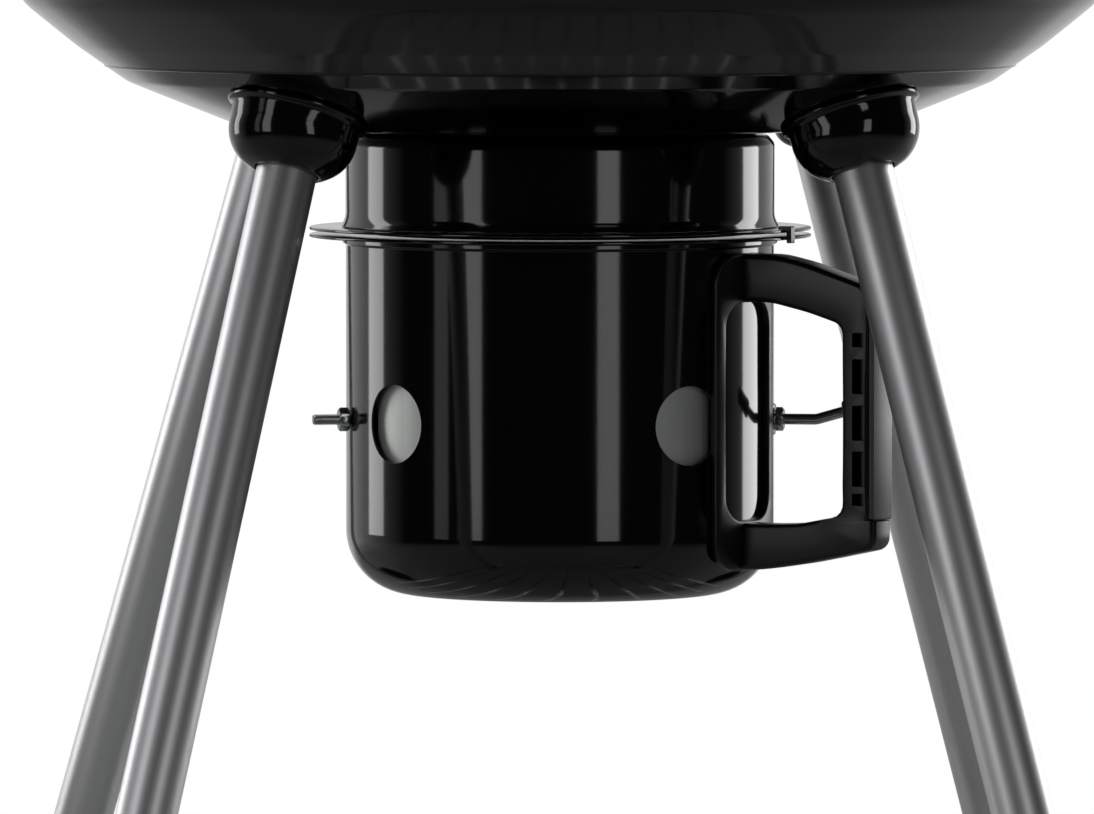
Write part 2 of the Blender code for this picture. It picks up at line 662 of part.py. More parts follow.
def buildWheels(plastic, rubber, zinc, parent):
    rim_in = TYRE_IN * cos(pi / 28) - GAP
    centre = wheelCentre(1)
    end = centre.x + WHEEL_HALF + 0.0060
    axle = moved(rod(AXLE_R, -end, end, 16), Matrix.Rotation(pi / 2, 4, "Y"))
    place("axle", axle, zinc, parent, (0, centre.y, centre.z))
    for name, side in (("left", -1), ("right", 1)):
        spot = wheelCentre(side)
        axis = empty(f"wheel_axis_{name}", parent, spot)
        flat = (0, pi / 2, 0)
        half = WHEEL_HALF
        section = [(AXLE_R + GAP, half), (0.0150, half), (0.0165, 0.0040), (rim_in - 0.005, 0.0030)]
        section += [(rim_in - 0.004, half - 0.002), (rim_in, half - 0.002)]
        wheel = turned([*section, *[(r, -z) for r, z in reversed(section)]], 24)
        place(f"wheel_{name}", wheel, plastic, axis, rotation=flat)
        tread = [(TYRE_IN, half - 0.003), (WHEEL_R - 0.004, half - 0.001), (WHEEL_R, 0.0080)]
        tread += [(WHEEL_R, -0.0080), (WHEEL_R - 0.004, 0.001 - half), (TYRE_IN, 0.003 - half)]
        place(f"tyre_{name}", turned(tread, 28), rubber, axis, rotation=flat)
        cap = [(0, 0.0110), (0.0080, 0.0100), (0.0120, 0.0060), (0.0120, 0), (AXLE_R + GAP, 0)]
        cap += [(AXLE_R + GAP, 0.0060 + GAP), (0, 0.0060 + GAP)]
        cap_at = spot + Vector((side * (half + GAP), 0, 0))
        place(f"hub_cap_{name}", turned(cap, 16, closed=False), zinc, parent, cap_at,
              (0, side * pi / 2, 0))


def buildShelf(zinc, parent):
    """A wire rack whose two rails butt against the legs."""
    front = legAxis(FRONT_LEG, 1, 1, SHELF_Z)
    rear = legAxis(REAR_LEG, 1, -1, SHELF_Z)
    rails = []
    for corner in (front, rear):
        reach = corner.x - TUBE_R * 1.08 - GAP
        path = [(-reach, corner.y, SHELF_Z), (reach, corner.y, SHELF_Z)]
        rails.append(swept(path, SHELF_WIRE, 6))
    sides = []
    for x in (-SHELF_SIDE_X, SHELF_SIDE_X):
        z = SHELF_Z + 0.0035
        sides.append(swept([(x, front.y - 0.0015, z), (x, rear.y + 0.0015, z)], SHELF_WIRE, 6))
    wires = []
    for i in range(SHELF_COUNT):
        x = SHELF_PITCH * (i - (SHELF_COUNT - 1) / 2)
        z = SHELF_Z + 0.0040
        wires.append(swept([(x, front.y - 0.0010, z), (x, rear.y + 0.0010, z)], SHELF_THIN, 5))
    rack = merged(joined(rails), joined([*sides, *wires]))
    place("wire_shelf", rack, zinc, parent)


def buildSideHandle(name, side, plastic, parent):
    """A moulded grip on two posts, at the side of the bowl."""
    z = 0.7000
    spread = 0.0650
    foot = sqrt(0.2918 ** 2 - (spread - 0.0085) ** 2) + 0.0010
    path = [(foot, -spread, z), (0.3180, -spread, z)]
    path += [(0.3180 + 0.014 * sin(a), -spread + 0.014 * (1 - cos(a)), z) for a in (pi / 6, pi / 3, pi / 2)]
    path += [(x, -y, z) for x, y, z in reversed(path)]
    grip = swept(path, 0.0085, 10)
    place(f"side_handle_{name}", grip, plastic, parent, rotation=(0, 0, 0 if side > 0 else pi), sharp=50)


def buildStraps(steel, parent):
    """Bent straps on the bowl's wall: a high tab for the cooking grate, a low one for the charcoal grate."""
    t = STRAP_T
    high, low = HIGH_TAB_Z, LOW_TAB_Z
    outline = [(0.2640, high), (0.2878, high), (0.2878, 0.6560), (0.2330, low - t)]
    outline += [(0.2080, low - t), (0.2080, low), (0.2318, low), (0.2853, 0.6570)]
    outline += [(0.2853, high - t), (0.2640, high - t)]
    for i, azimuth in enumerate(STRAP_AZ):
        strap = prism(outline, -STRAP_W / 2, STRAP_W / 2)
        place(f"grate_strap_{i + 1}", strap, steel, parent, rotation=(0, 0, facing(azimuth)))


def wireRow(places, radius, z, wire):
    """Parallel wires along Y at these X places, each ending on a circle."""
    wires = []
    for x in places:
        reach = sqrt(radius ** 2 - x ** 2)
        wires.append(swept([(x, -reach, z), (x, reach, z)], wire, 4, turn=0.75))
    return wires


def buildCharcoalGrate(steel, parent):
    z = LOW_TAB_Z + GAP + COAL_WIRE
    ring = swept(ringPath(COAL_R, 0, 36), COAL_WIRE, 6, closed=True, turn=pi / 2)
    places = [-0.186 + 0.031 * i for i in range(13)]
    row = joined(wireRow(places, COAL_R - 0.0007, 0, 0.0028))
    bars = []
    for y in (-0.100, 0.100):
        reach = sqrt(COAL_R ** 2 - y ** 2)
        bars.append(swept([(-reach, y, 0.0038), (reach, y, 0.0038)], 0.0026, 4, turn=0.75))
    place("charcoal_grate", merged(ring, joined(bars), row), steel, parent, (0, 0, z))


def buildCookingGrate(chrome, parent):
    z = HIGH_TAB_Z + GAP + 0.0032
    ring = swept(ringPath(GRATE_R, 0, 40), 0.0032, 6, closed=True, turn=pi / 2)
    places = [HINGE_X * i / 8 for i in range(-8, 9)]
    row = joined(wireRow(places, GRATE_R - 0.0007, 0, GRATE_WIRE))
    bars = []
    for y in (-0.120, 0.120):
        reach = sqrt(GRATE_R ** 2 - y ** 2)
        bars.append(swept([(-reach, y, -0.0046), (reach, y, -0.0046)], 0.0028, 4, turn=0.75))
    grate = merged(ring, joined(bars), row)
    place("cooking_grate", grate, chrome, parent, (0, 0, z))
    for name, side in (("left", -1), ("right", 1)):
        hinge = empty(f"flap_hinge_{name}", parent, (side * HINGE_X, 0, z + FLAP_LIFT))
        buildFlap(name, side, chrome, hinge)


def buildFlap(name, side, chrome, hinge):
    """A wire flap: a straight rail along the hinge and a round outer edge."""
    rail = 0.0080
    outer = GRATE_R - 0.0032 - 0.0030 - 0.0045
    reach = sqrt(outer ** 2 - (HINGE_X + rail) ** 2) - 0.004
    span = asin(reach / outer)
    path = [(rail, -reach)]
    steps = 12
    for i in range(steps + 1):
        a = span * (2 * i / steps - 1) * 0.985
        path.append((outer * cos(a) - HINGE_X, outer * sin(a)))
    path.append((rail, reach))
    frame = swept([(side * x, y, 0) for x, y in path], 0.0026, 5, closed=True, turn=pi / 2)
    wires = []
    for i in range(1, 5):
        x = rail + 0.0190 * i
        half = sqrt(outer ** 2 - (HINGE_X + x) ** 2)
        wires.append(swept([(side * x, -half, 0), (side * x, half, 0)], 0.0023, 4, turn=0.75))
    place(f"grate_flap_{name}", merged(frame, joined(wires)), chrome, hinge)


def lidPoint(arc_angle, offset=0.0):
    """(radius, height) on the lid's dome, arc_angle 0 at the rim and 90 at the top."""
    a = radians(arc_angle)
    power = 2 / LID_ROUND
    r = (LID_R - offset) * cos(a) ** power
    return r, LID_Z + (LID_H - offset) * sin(a) ** power


def lidFrame(azimuth, arc_angle):
    """The matrix with its origin on the dome and Z along the dome's outward normal."""
    r0, z0 = lidPoint(arc_angle - 1.0)
    r1, z1 = lidPoint(arc_angle + 1.0)
    r, z = lidPoint(arc_angle)
    out = Vector((z1 - z0, 0, r0 - r1)).normalized()
    spot = around(azimuth, r, z)
    normal = around(azimuth, out.x, out.z)
    return along(spot, spot + normal)


def buildLid(enamel, steel, plastic, zinc, chrome, parent):
    angles = (8, 18, 30, 43, 57, 71, 84)
    outer = [lidPoint(a) for a in angles]
    inner = [lidPoint(a, SHEET) for a in angles]
    skirt = [(0.2905, RIM_Z + GAP), (0.2992, RIM_Z + GAP), (0.2992, 0.7440), (0.3008, 0.7430)]
    skirt += [(0.3020, 0.7445), (0.3020, 0.7530), (0.2995, 0.7555), (0.2920, 0.7562)]
    top = LID_Z + LID_H
    section = [(0.2878, 0.7562), *skirt, *outer, (0, top), (0, top - SHEET), *reversed(inner)]
    shell = turned([*section, (0.2878, 0.7562)], 36, closed=False)
    vent_frame = lidFrame(LID_DAMPER_AZ, LID_DAMPER_ARC)
    tools = [moved(ventCircle(k, 0.0105, -0.02, 0.02), vent_frame) for k in range(3)]
    tools.append(moved(rod(0.0033, -0.02, 0.02, 8), vent_frame))
    tools.append(moved(rod(0.0045, -0.02, 0.02, 10), lidFrame(THERMO_AZ, THERMO_ARC)))
    for side in (-1, 1):
        spot = Matrix.Translation((side * 0.055, 0, 0))
        tools.append(moved(rod(0.0030, top - 0.02, top + 0.02, 8), spot))
    place("lid", cut(shell, joined(tools)), enamel, parent)
    buildLidDamper(vent_frame, steel, parent)
    buildLidHandle(top, steel, plastic, zinc, parent)
    buildThermometer(chrome, parent)


def ventCircle(k, radius, low, high):
    """One of the three holes of the lid's air vent, in the vent's own frame."""
    a = 2 * pi * k / 3
    return moved(rod(radius, low, high, 12), Matrix.Translation((0.0240 * cos(a), 0.0240 * sin(a), 0)))


def buildLidDamper(frame, steel, parent):
    hub = empty("lid_damper_axis", parent)
    hub.matrix_local = frame
    disc = rod(DAMPER_DISC_R, 0.0008, 0.0020, 24)
    holes = [ventCircle(k, 0.0105, -0.01, 0.01) for k in range(3)]
    holes.append(rod(0.0033, -0.01, 0.01, 8))
    bent = [(0.0390, 0.0010), (0.0560, 0.0010), (0.0560, 0.0100), (0.0552, 0.0100), (0.0552, 0.0018)]
    tab = prism([*bent, (0.0390, 0.0018)], -0.0070, 0.0070)
    disc = merged(disc, moved(tab, Matrix.Rotation(radians(60), 4, "Z")))
    place("lid_damper", cut(disc, joined(holes)), steel, hub)
    knob = merged(rod(0.0060, 0.0023, 0.0060, 16), rod(0.0029, -0.0060, 0.0030, 10))
    place("lid_damper_rivet", knob, steel, hub)


def buildLidHandle(top, steel, plastic, zinc, parent):
    """A moulded bar on two posts, with a bent steel shield under the hand."""
    centre = empty("lid_handle_centre", parent, (0, 0, top))
    shield = [(-0.078, -0.0042), (-0.040, -0.0002), (-0.034, 0.0140)]
    shield += [(-x, z) for x, z in reversed(shield)]
    under = [(x, z + 0.0012) for x, z in reversed(shield)]
    plate = prism([*shield, *under], -0.0240, 0.0240)
    holes = [moved(rod(0.0030, -0.01, 0.01, 8), Matrix.Translation((s * 0.055, 0, 0))) for s in (-1, 1)]
    place("lid_heat_shield", cut(plate, joined(holes)), steel, centre)
    base = 0.0009
    path = [(-0.0550, 0, base), (-0.0550, 0, 0.0280)]
    path += [(-0.0550 + 0.018 * (1 - cos(a)), 0, 0.0280 + 0.018 * sin(a)) for a in (pi / 6, pi / 3, pi / 2)]
    path += [(-x, 0, z) for x, _, z in reversed(path)]
    grip = swept(path, 0.0110, 12)
    bores = [moved(rod(0.0030, -0.001, 0.0160, 8), Matrix.Translation((s * 0.055, 0, 0))) for s in (-1, 1)]
    place("lid_handle", cut(grip, joined(bores)), plastic, centre, sharp=50)
    for name, side in (("left", -1), ("right", 1)):
        bolt = merged(rod(0.0060, -0.0084, -0.0048, 14), rod(0.0026, -0.0060, 0.0150, 8))
        place(f"lid_handle_bolt_{name}", bolt, zinc, centre, (side * 0.055, 0, 0))


def buildThermometer(chrome, parent):
    """A dial case on the lid, with its probe through the lid's wall."""
    gauge = empty("thermometer_axis", parent)
    gauge.matrix_local = lidFrame(THERMO_AZ, THERMO_ARC)
    case = [(0, 0.0022), (0.0200, 0.0022), (0.0265, 0.0060), (0.0265, 0.0130)]
    case += [(0.0250, 0.0142), (0.0230, 0.0142), (0.0225, 0.0118), (0, 0.0118)]
    probe = rod(0.0040, -0.0300, 0.0030, 10)
    place("thermometer", merged(turned(case, 24, closed=False), probe), chrome, gauge)


def main():
    clearScene()
    enamel = makeMaterial("black_enamel", (0.010, 0.011, 0.014), 0.10, 0.0)
    satin = makeMaterial("satin_tube", (0.62, 0.63, 0.65), 0.28, 1.0)
    plastic = makeMaterial("moulded_black", (0.016, 0.016, 0.017), 0.38, 0.0)
    zinc = makeMaterial("zinc_plate", (0.66, 0.67, 0.68), 0.25, 1.0)
    galvanised = makeMaterial("galvanised_sheet", (0.60, 0.61, 0.62), 0.40, 1.0)
    plated = makeMaterial("plated_wire", (0.70, 0.70, 0.71), 0.18, 1.0)
    rubber = makeMaterial("black_rubber", (0.020, 0.020, 0.020), 0.80, 0.0)

    grill = empty("kettle_grill")
    pot_line = empty("ash_pot_line", grill)
    charcoal_lift = empty("charcoal_lift", grill)
    cooking_lift = empty("cooking_lift", charcoal_lift)
    lid_lift = empty("lid_lift", cooking_lift)

    buildBowl(enamel, grill)
    buildCollar(enamel, grill)
    place("collar_ring_plate", ringPlate(COLLAR_PLATE_Z), enamel, grill)
    buildClip(plastic, grill)
    for name, leg, side, front in LEGS:
        buildSocket(name, leg, side, front, enamel, grill)
        buildLeg(name, leg, side, front, satin, zinc, grill)
    for name, side in (("left", -1), ("right", 1)):
        buildFoot(name, side, rubber, grill)
        buildPlug(name, side, plastic, grill)
        buildSideHandle(name, side, plastic, grill)
    buildWheels(plastic, rubber, zinc, grill)
    buildShelf(plated, grill)
    buildStraps(galvanised, grill)

    buildPot(enamel, pot_line)
    place("pot_ring_plate", ringPlate(POT_PLATE_Z), enamel, pot_line)
    buildSleeve(galvanised, zinc, plastic, pot_line)
    buildStud(zinc, pot_line)
    buildPotHandle(plastic, zinc, pot_line)

    buildCharcoalGrate(plated, charcoal_lift)
    buildCookingGrate(plated, cooking_lift)
    buildLid(enamel, galvanised, plastic, zinc, plated, lid_lift)
    bpy.context.view_layer.update()


main()
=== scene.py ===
from math import asin, cos, hypot, pi, radians, sin, sqrt, tan

import bmesh
import bpy
from mathutils import Matrix, Vector


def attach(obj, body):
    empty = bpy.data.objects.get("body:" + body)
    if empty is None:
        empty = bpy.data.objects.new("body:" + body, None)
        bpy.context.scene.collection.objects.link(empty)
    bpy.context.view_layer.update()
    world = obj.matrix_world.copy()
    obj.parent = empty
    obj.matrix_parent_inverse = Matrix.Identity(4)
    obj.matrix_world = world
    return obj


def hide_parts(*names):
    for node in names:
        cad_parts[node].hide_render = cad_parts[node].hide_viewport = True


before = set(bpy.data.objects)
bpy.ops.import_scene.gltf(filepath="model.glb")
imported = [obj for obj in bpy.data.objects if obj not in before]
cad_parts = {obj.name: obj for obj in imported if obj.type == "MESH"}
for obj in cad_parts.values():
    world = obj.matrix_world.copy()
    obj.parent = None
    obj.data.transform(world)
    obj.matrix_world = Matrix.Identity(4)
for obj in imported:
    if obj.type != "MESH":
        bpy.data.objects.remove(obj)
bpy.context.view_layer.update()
print("frame loaded")


# Colour and nodes

def linear(code):
    # an sRGB hex value as linear light
    parts = [int(code[i:i + 2], 16) / 255 for i in (1, 3, 5)]
    return tuple(p / 12.92 if p <= 0.04045 else ((p + 0.055) / 1.055) ** 2.4 for p in parts) + (1.0,)


def addNode(tree, kind, settings=None, links=None):
    # settings are node properties or socket values, links are sockets fed by another node's output
    node = tree.nodes.new("ShaderNode" + kind)
    for key, value in (settings or {}).items():
        if hasattr(node, key):
            setattr(node, key, value)
        else:
            node.inputs[key].default_value = value
    for key, source in (links or {}).items():
        tree.links.new(source, node.inputs[key])
    return node


def noiseAt(tree, place, gap, detail):
    # noise with features this many millimetres apart; three gaps are those along X, Y and Z
    if isinstance(gap, tuple):
        scale = tuple(1000.0 / mm for mm in gap)
        place = addNode(tree, "Mapping", {"Scale": scale}, {"Vector": place}).outputs["Vector"]
        gap = 1000.0
    noise = addNode(tree, "TexNoise", {"Scale": 1000.0 / gap, "Detail": detail}, {"Vector": place})
    return noise.outputs["Fac"]


def makeMaterial(name, look):
    # a base, a cloud that shifts its colour and roughness, and a relief of its own or the cloud's
    material = bpy.data.materials.new(name)
    material.use_nodes = True
    tree = material.node_tree
    shader = tree.nodes["Principled BSDF"]
    shader.inputs["Base Color"].default_value = linear(look["base"])
    shader.inputs["Roughness"].default_value = look["gloss"]
    shader.inputs["Metallic"].default_value = look.get("metallic", 0.0)
    if "ior" in look:
        shader.inputs["IOR"].default_value = look["ior"]
    place = addNode(tree, "TexCoord").outputs["Object"]
    cloud = noiseAt(tree, place, *look["cloud"])
    if "tint" in look:
        dark, light = (linear(code) for code in look["tint"])
        tint = addNode(tree, "Mix", {"data_type": "RGBA", "A": dark, "B": light})
        tree.links.new(cloud, tint.inputs[0])
        tree.links.new([o for o in tint.outputs if o.type == "RGBA"][0], shader.inputs["Base Color"])
    if "roughness" in look:
        low, high = look["roughness"]
        rough = addNode(tree, "MapRange", {"To Min": low, "To Max": high}, {"Value": cloud})
        tree.links.new(rough.outputs["Result"], shader.inputs["Roughness"])
    relief = noiseAt(tree, place, *look["relief"]) if "relief" in look else cloud
    strength, depth = look["bump"]
    bump = addNode(tree, "Bump", {"Strength": strength, "Distance": depth}, {"Height": relief})
    tree.links.new(bump.outputs["Normal"], shader.inputs["Normal"])
    return material


# In a look, cloud and relief are (gap in millimetres, detail) and bump is (strength, depth in metres).
# Vitreous enamel, fired on pressed steel: a glassy black skin with a faint orange peel.
enamelLook = {"base": "#020203", "gloss": 0.1, "ior": 1.52, "tint": ("#020203", "#06070a"),
              "roughness": (0.06, 0.11), "cloud": (60.0, 3.0), "relief": (3.5, 1.0), "bump": (0.25, 0.00002)}

# Drawn steel tube under a satin silver lacquer: soft wide highlights with a fine drawn grain along the tube.
tubeLook = {"base": "#ebecee", "gloss": 0.4, "metallic": 0.94, "tint": ("#dfe0e2", "#ebecee"),
            "roughness": (0.40, 0.48), "cloud": ((0.9, 0.9, 60.0), 3.0), "bump": (0.3, 0.00003)}

# Glass-filled nylon, injection moulded: a low sheen with slightly greyer rubbed places. The mould's spark
# texture is about 0.1 mm in life, drawn coarser so that it shows.
nylonLook = {"base": "#060607", "gloss": 0.4, "ior": 1.5, "tint": ("#060607", "#0c0c0d"),
             "roughness": (0.26, 0.38), "cloud": (24.0, 4.0), "relief": (0.7, 2.0), "bump": (0.35, 0.00006)}

# Zinc from a plating barrel: cloudy bright grey, with small dull and sharp patches.
zincLook = {"base": "#cfd1d4", "gloss": 0.16, "metallic": 1.0, "tint": ("#a9adb3", "#cfd1d4"),
            "roughness": (0.16, 0.30), "cloud": ((3.0, 3.0, 3.0), 4.0), "bump": (0.2, 0.00003)}

# Galvanised sheet: pale and dull, with soft upright bands.
sheetLook = {"base": "#eef1ee", "gloss": 0.5, "metallic": 1.0, "tint": ("#c9cdca", "#eef1ee"),
             "roughness": (0.50, 0.62), "cloud": ((9.0, 9.0, 90.0), 4.0), "bump": (0.2, 0.00003)}

# Plated wire: bright, with a wider highlight where the plating is thin.
wireLook = {"base": "#e2e3e5", "gloss": 0.24, "metallic": 1.0, "tint": ("#cfd0d3", "#e2e3e5"),
            "roughness": (0.24, 0.36), "cloud": ((9.0, 9.0, 9.0), 4.0), "bump": (0.2, 0.00003)}

# Vulcanised rubber: matt, dusty in its hollows.
rubberLook = {"base": "#141414", "gloss": 0.78, "ior": 1.52, "tint": ("#141414", "#25241f"),
              "cloud": (18.0, 5.0), "relief": (1.4, 3.0), "bump": (0.5, 0.0001)}

# Paper dial, its printed marks and the lacquered pointer: flat, with a faint fibre.
paintLook = {"ior": 1.5, "cloud": (0.8, 2.0), "bump": (0.2, 0.00002)}

slotMaterials = {
    "black_enamel": makeMaterial("vitreousEnamelFired", enamelLook),
    "satin_tube": makeMaterial("drawnTubeSatinSilver", tubeLook),
    "moulded_black": makeMaterial("nylonMoulded", nylonLook),
    "zinc_plate": makeMaterial("zincPlateBarrel", zincLook),
    "galvanised_sheet": makeMaterial("steelSheetRolled", sheetLook),
    "plated_wire": makeMaterial("steelWirePlated", wireLook),
    "black_rubber": makeMaterial("rubberVulcanised", rubberLook),
}
slotMaterials["tyre_rubber"] = slotMaterials["black_rubber"]
dialPaper = makeMaterial("dialPaperPrinted", {**paintLook, "base": "#e9e8e2", "gloss": 0.6})
dialInk = makeMaterial("dialInkPrinted", {**paintLook, "base": "#1b1b1d", "gloss": 0.5})
pointerRed = makeMaterial("pointerLacquered", {**paintLook, "base": "#b02a1e", "gloss": 0.35})
print("materials made")


# Points and meshes

def around(azimuth, radius, z):
    # azimuth in degrees, 0 at the front (-Y) and 90 at the right (+X)
    a = radians(azimuth)
    return Vector((radius * sin(a), -radius * cos(a), z))


def turnTo(azimuth):
    return Matrix.Rotation(radians(azimuth - 90), 4, "Z")  # takes +X to this azimuth


def lineFrame(start, end):
    turn = (Vector(end) - Vector(start)).to_track_quat("Z", "Y").to_matrix().to_4x4()
    return Matrix.Translation(Vector(start)) @ turn


def filleted(points, closed=False, step=9.0):
    # (x, z, fillet radius) corners as a smooth outline, one point for each few degrees of a fillet
    outline = []
    last = len(points) - 1
    for i, (x, z, radius) in enumerate(points):
        if radius == 0 or (not closed and i in (0, last)):
            outline.append((x, z))
            continue
        here = Vector((x, z))
        back = Vector(points[i - 1][:2]) - here
        ahead = Vector(points[(i + 1) % len(points)][:2]) - here
        half = back.angle(ahead) / 2
        reach = min(radius / tan(half), back.length * 0.49, ahead.length * 0.49)
        radius = reach * tan(half)
        back.normalize()
        ahead.normalize()
        centre = here + (back + ahead).normalized() * radius / sin(half)
        first, end = here + back * reach - centre, here + ahead * reach - centre
        count = max(2, round((180 - 2 * half * 180 / pi) / step))
        for k in range(count + 1):
            outline.append(tuple(centre + first.lerp(end, k / count).normalized() * radius))
    return outline


def skin(rows, closedRows=False, caps=()):
    # a mesh that joins neighbouring rows of points; a row of one point is a tip, and caps names the
    # rows that a face closes
    bm = bmesh.new()
    sides = max(len(row) for row in rows)
    rings = [[bm.verts.new(spot) for spot in row] for row in rows]
    rings = [ring * sides if len(ring) == 1 else ring for ring in rings]
    pairs = list(zip(rings, rings[1:]))
    if closedRows:
        pairs.append((rings[-1], rings[0]))
    for near, far in pairs:
        for k in range(sides):
            j = (k + 1) % sides
            corners = []
            for v in (near[k], near[j], far[j], far[k]):
                if v not in corners:
                    corners.append(v)
            if len(corners) > 2:
                bm.faces.new(corners)
    for row in caps:
        bm.faces.new(rings[row])
    bmesh.ops.recalc_face_normals(bm, faces=bm.faces)
    mesh = bpy.data.meshes.new("piece")
    bm.to_mesh(mesh)
    bm.free()
    return mesh


def circle(radius, z, count):
    return [(radius * cos(2 * pi * k / count), radius * sin(2 * pi * k / count), z) for k in range(count)]


def lathe(outline, steps, closed=False):
    # a shape turned about Z; an end on the axis closes to one point
    return skin([[(0, 0, z)] if r < 1e-6 else circle(r, z, steps) for r, z in outline], closedRows=closed)


def turned(points, steps, closed=False, step=9.0):
    # a shape turned about Z from (radius, height, fillet radius) corners
    return lathe(filleted(points, closed, step), steps, closed)


def tube(points, radius, sides, closed=False, roundEnds=0.0):
    # a round bar along these points, its ends flat or rounded over
    points = [Vector(p) for p in points]
    count = len(points)
    stations = []
    up = None
    for i, point in enumerate(points):
        if closed:
            ahead = (points[(i + 1) % count] - points[i - 1]).normalized()
        else:
            ahead = (points[min(i + 1, count - 1)] - points[max(i - 1, 0)]).normalized()
        if up is None:
            up = Vector((0, 0, 1)) if abs(ahead.z) < 0.9 else Vector((0, 1, 0))
        side = ahead.cross(up).normalized()
        up = side.cross(ahead)
        stations.append((point, ahead, side, up, radius))
    if not closed:
        capped = []  # three more stations beyond each end, thinner and thinner
        for end, sign in ((stations[0], -1), (stations[-1], 1)):
            point, ahead, side, above, r = end
            for k in (1, 2, 3):
                turn = k * pi / 6
                out = point + ahead * sign * roundEnds * sin(turn)
                thin = r - roundEnds * (1 - cos(turn)) if roundEnds else r * (1 - k / 3.001)
                capped.append((sign, (out, ahead, side, above, max(thin, r * 0.05))))
        stations = [s for g, s in reversed(capped) if g < 0] + stations + [s for g, s in capped if g > 0]
    turns = [2 * pi * k / sides for k in range(sides)]
    rows = []
    for point, _, side, above, r in stations:
        rows.append([point + r * (cos(a) * side + sin(a) * above) for a in turns])
    return skin(rows, closedRows=closed, caps=() if closed else (0, -1))


def bent(corners, steps=8):
    # a path of (x, y, z, bend radius) corners with round bends
    path = []
    last = len(corners) - 1
    for i, (x, y, z, radius) in enumerate(corners):
        here = Vector((x, y, z))
        if radius == 0 or i in (0, last):
            path.append(here)
            continue
        back = (Vector(corners[i - 1][:3]) - here).normalized()
        ahead = (Vector(corners[i + 1][:3]) - here).normalized()
        half = back.angle(ahead) / 2
        centre = here + (back + ahead).normalized() * radius / sin(half)
        first, end = here + back * radius / tan(half) - centre, here + ahead * radius / tan(half) - centre
        path += [centre + first.lerp(end, k / steps).normalized() * radius for k in range(steps + 1)]
    return path


def slab(outline, low, high, edge=0.0):
    # an outline in XZ pushed along Y from low to high, its two rims eased by edge
    middle = Vector((sum(x for x, z in outline) / len(outline), sum(z for x, z in outline) / len(outline)))
    levels = ((low, 0.0), (high, 0.0))
    if edge:
        levels = ((low, edge), (low + edge, 0.0), (high - edge, 0.0), (high, edge))
    rows = []
    for y, inset in levels:
        row = []
        for x, z in outline:
            out = Vector((x, z)) - middle
            near = middle + out * (1 - inset / max(out.length, 1e-6))
            row.append((near.x, y, near.y))
        rows.append(row)
    return skin(rows, caps=(0, -1))


def gathered(meshes):
    # several meshes as one, each already in place
    bm = bmesh.new()
    for mesh in meshes:
        bm.from_mesh(mesh)
        bpy.data.meshes.remove(mesh)
    mesh = bpy.data.meshes.new("gathered")
    bm.to_mesh(mesh)
    bm.free()
    return mesh


def placed(mesh, matrix):
    # the same mesh, moved; its own points change
    mesh.transform(matrix)
    return mesh


def carved(mesh, cutter):
    # the first mesh with the second taken away
    pair = [bpy.data.objects.new("carve", m) for m in (mesh, cutter)]
    for obj in pair:
        bpy.context.scene.collection.objects.link(obj)
    modifier = pair[0].modifiers.new("carve", "BOOLEAN")
    modifier.operation = "DIFFERENCE"
    modifier.object = pair[1]
    bpy.context.view_layer.update()
    graph = bpy.context.evaluated_depsgraph_get()
    result = bpy.data.meshes.new_from_object(pair[0].evaluated_get(graph))
    for obj in pair:
        bpy.data.objects.remove(obj, do_unlink=True)
    return result


def trueNormals(mesh, outward):
    # a wall with holes cut in it keeps the true normals of its form, so no cut leaves a dent in the gloss
    normals = [Vector(n.vector) for n in mesh.corner_normals]
    for face in mesh.polygons:
        true = outward(face.center)
        facing = face.normal.dot(true) if true else 0.0
        if abs(facing) < 0.97:
            continue
        for corner in face.loop_indices:
            normal = outward(mesh.vertices[mesh.loops[corner].vertex_index].co)
            if normal:
                normals[corner] = normal * (1 if facing > 0 else -1)
    mesh.normals_split_custom_set(normals)


def showPiece(name, mesh, slotName, body, nodes=(), matrix=None, sharp=35.0, material=None):
    # the finished object of one piece, riding on its body and standing for its CAD nodes
    mesh.name = name
    mesh.materials.clear()
    mesh.materials.append(material or slotMaterials[slotName])
    mesh.shade_smooth()
    mesh.set_sharp_from_angle(angle=radians(sharp))
    obj = bpy.data.objects.new(name, mesh)
    bpy.context.scene.collection.objects.link(obj)
    if matrix is not None:
        obj.matrix_world = matrix
    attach(obj, body)
    if nodes:
        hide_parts(*nodes)
    return obj


def cornered(name):
    # the name with a capital, for the middle of a longer name
    return name[0].upper() + name[1:]


clearance = 0.0003  # between two pieces that would touch
gripBore = 0.0030   # the lid handle's bolts


# The kettle's bowl: a shallow cone with a pressed step, a round shoulder and a rolled rim.
bowl = {"throat": 0.095, "floor": 0.5637, "sheet": 0.0012, "rimTop": 0.7505, "rimOut": 0.2975}


def bowlOutline():
    under = [(bowl["throat"], bowl["floor"], 0), (0.1137, 0.5645, 0.02), (0.1690, 0.5673, 0.0035)]
    under += [(0.1749, 0.5697, 0.012), (0.2018, 0.5803, 0.15), (0.2290, 0.5912, 0.02)]
    step = [(0.2400, 0.5988, 0.0008), (0.2412, 0.5991, 0.0006), (0.2418, 0.6003, 0.0008)]
    side = [(0.2555, 0.6099, 0.05), (0.2700, 0.6215, 0.05), (0.2896, 0.6375, 0.026), (0.2908, 0.6950, 0.3)]
    return under + step + side + [(0.2915, 0.7425, 0)]


bowlProfile = filleted(bowlOutline())


def bowlHeight(radius):
    # height of the bowl's underside at this radius
    for (r0, z0), (r1, z1) in zip(bowlProfile, bowlProfile[1:]):
        if r0 <= radius <= r1:
            return z0 + (z1 - z0) * (radius - r0) / max(r1 - r0, 1e-9)
    return bowlProfile[0][1] if radius < bowlProfile[0][0] else bowlProfile[-1][1]


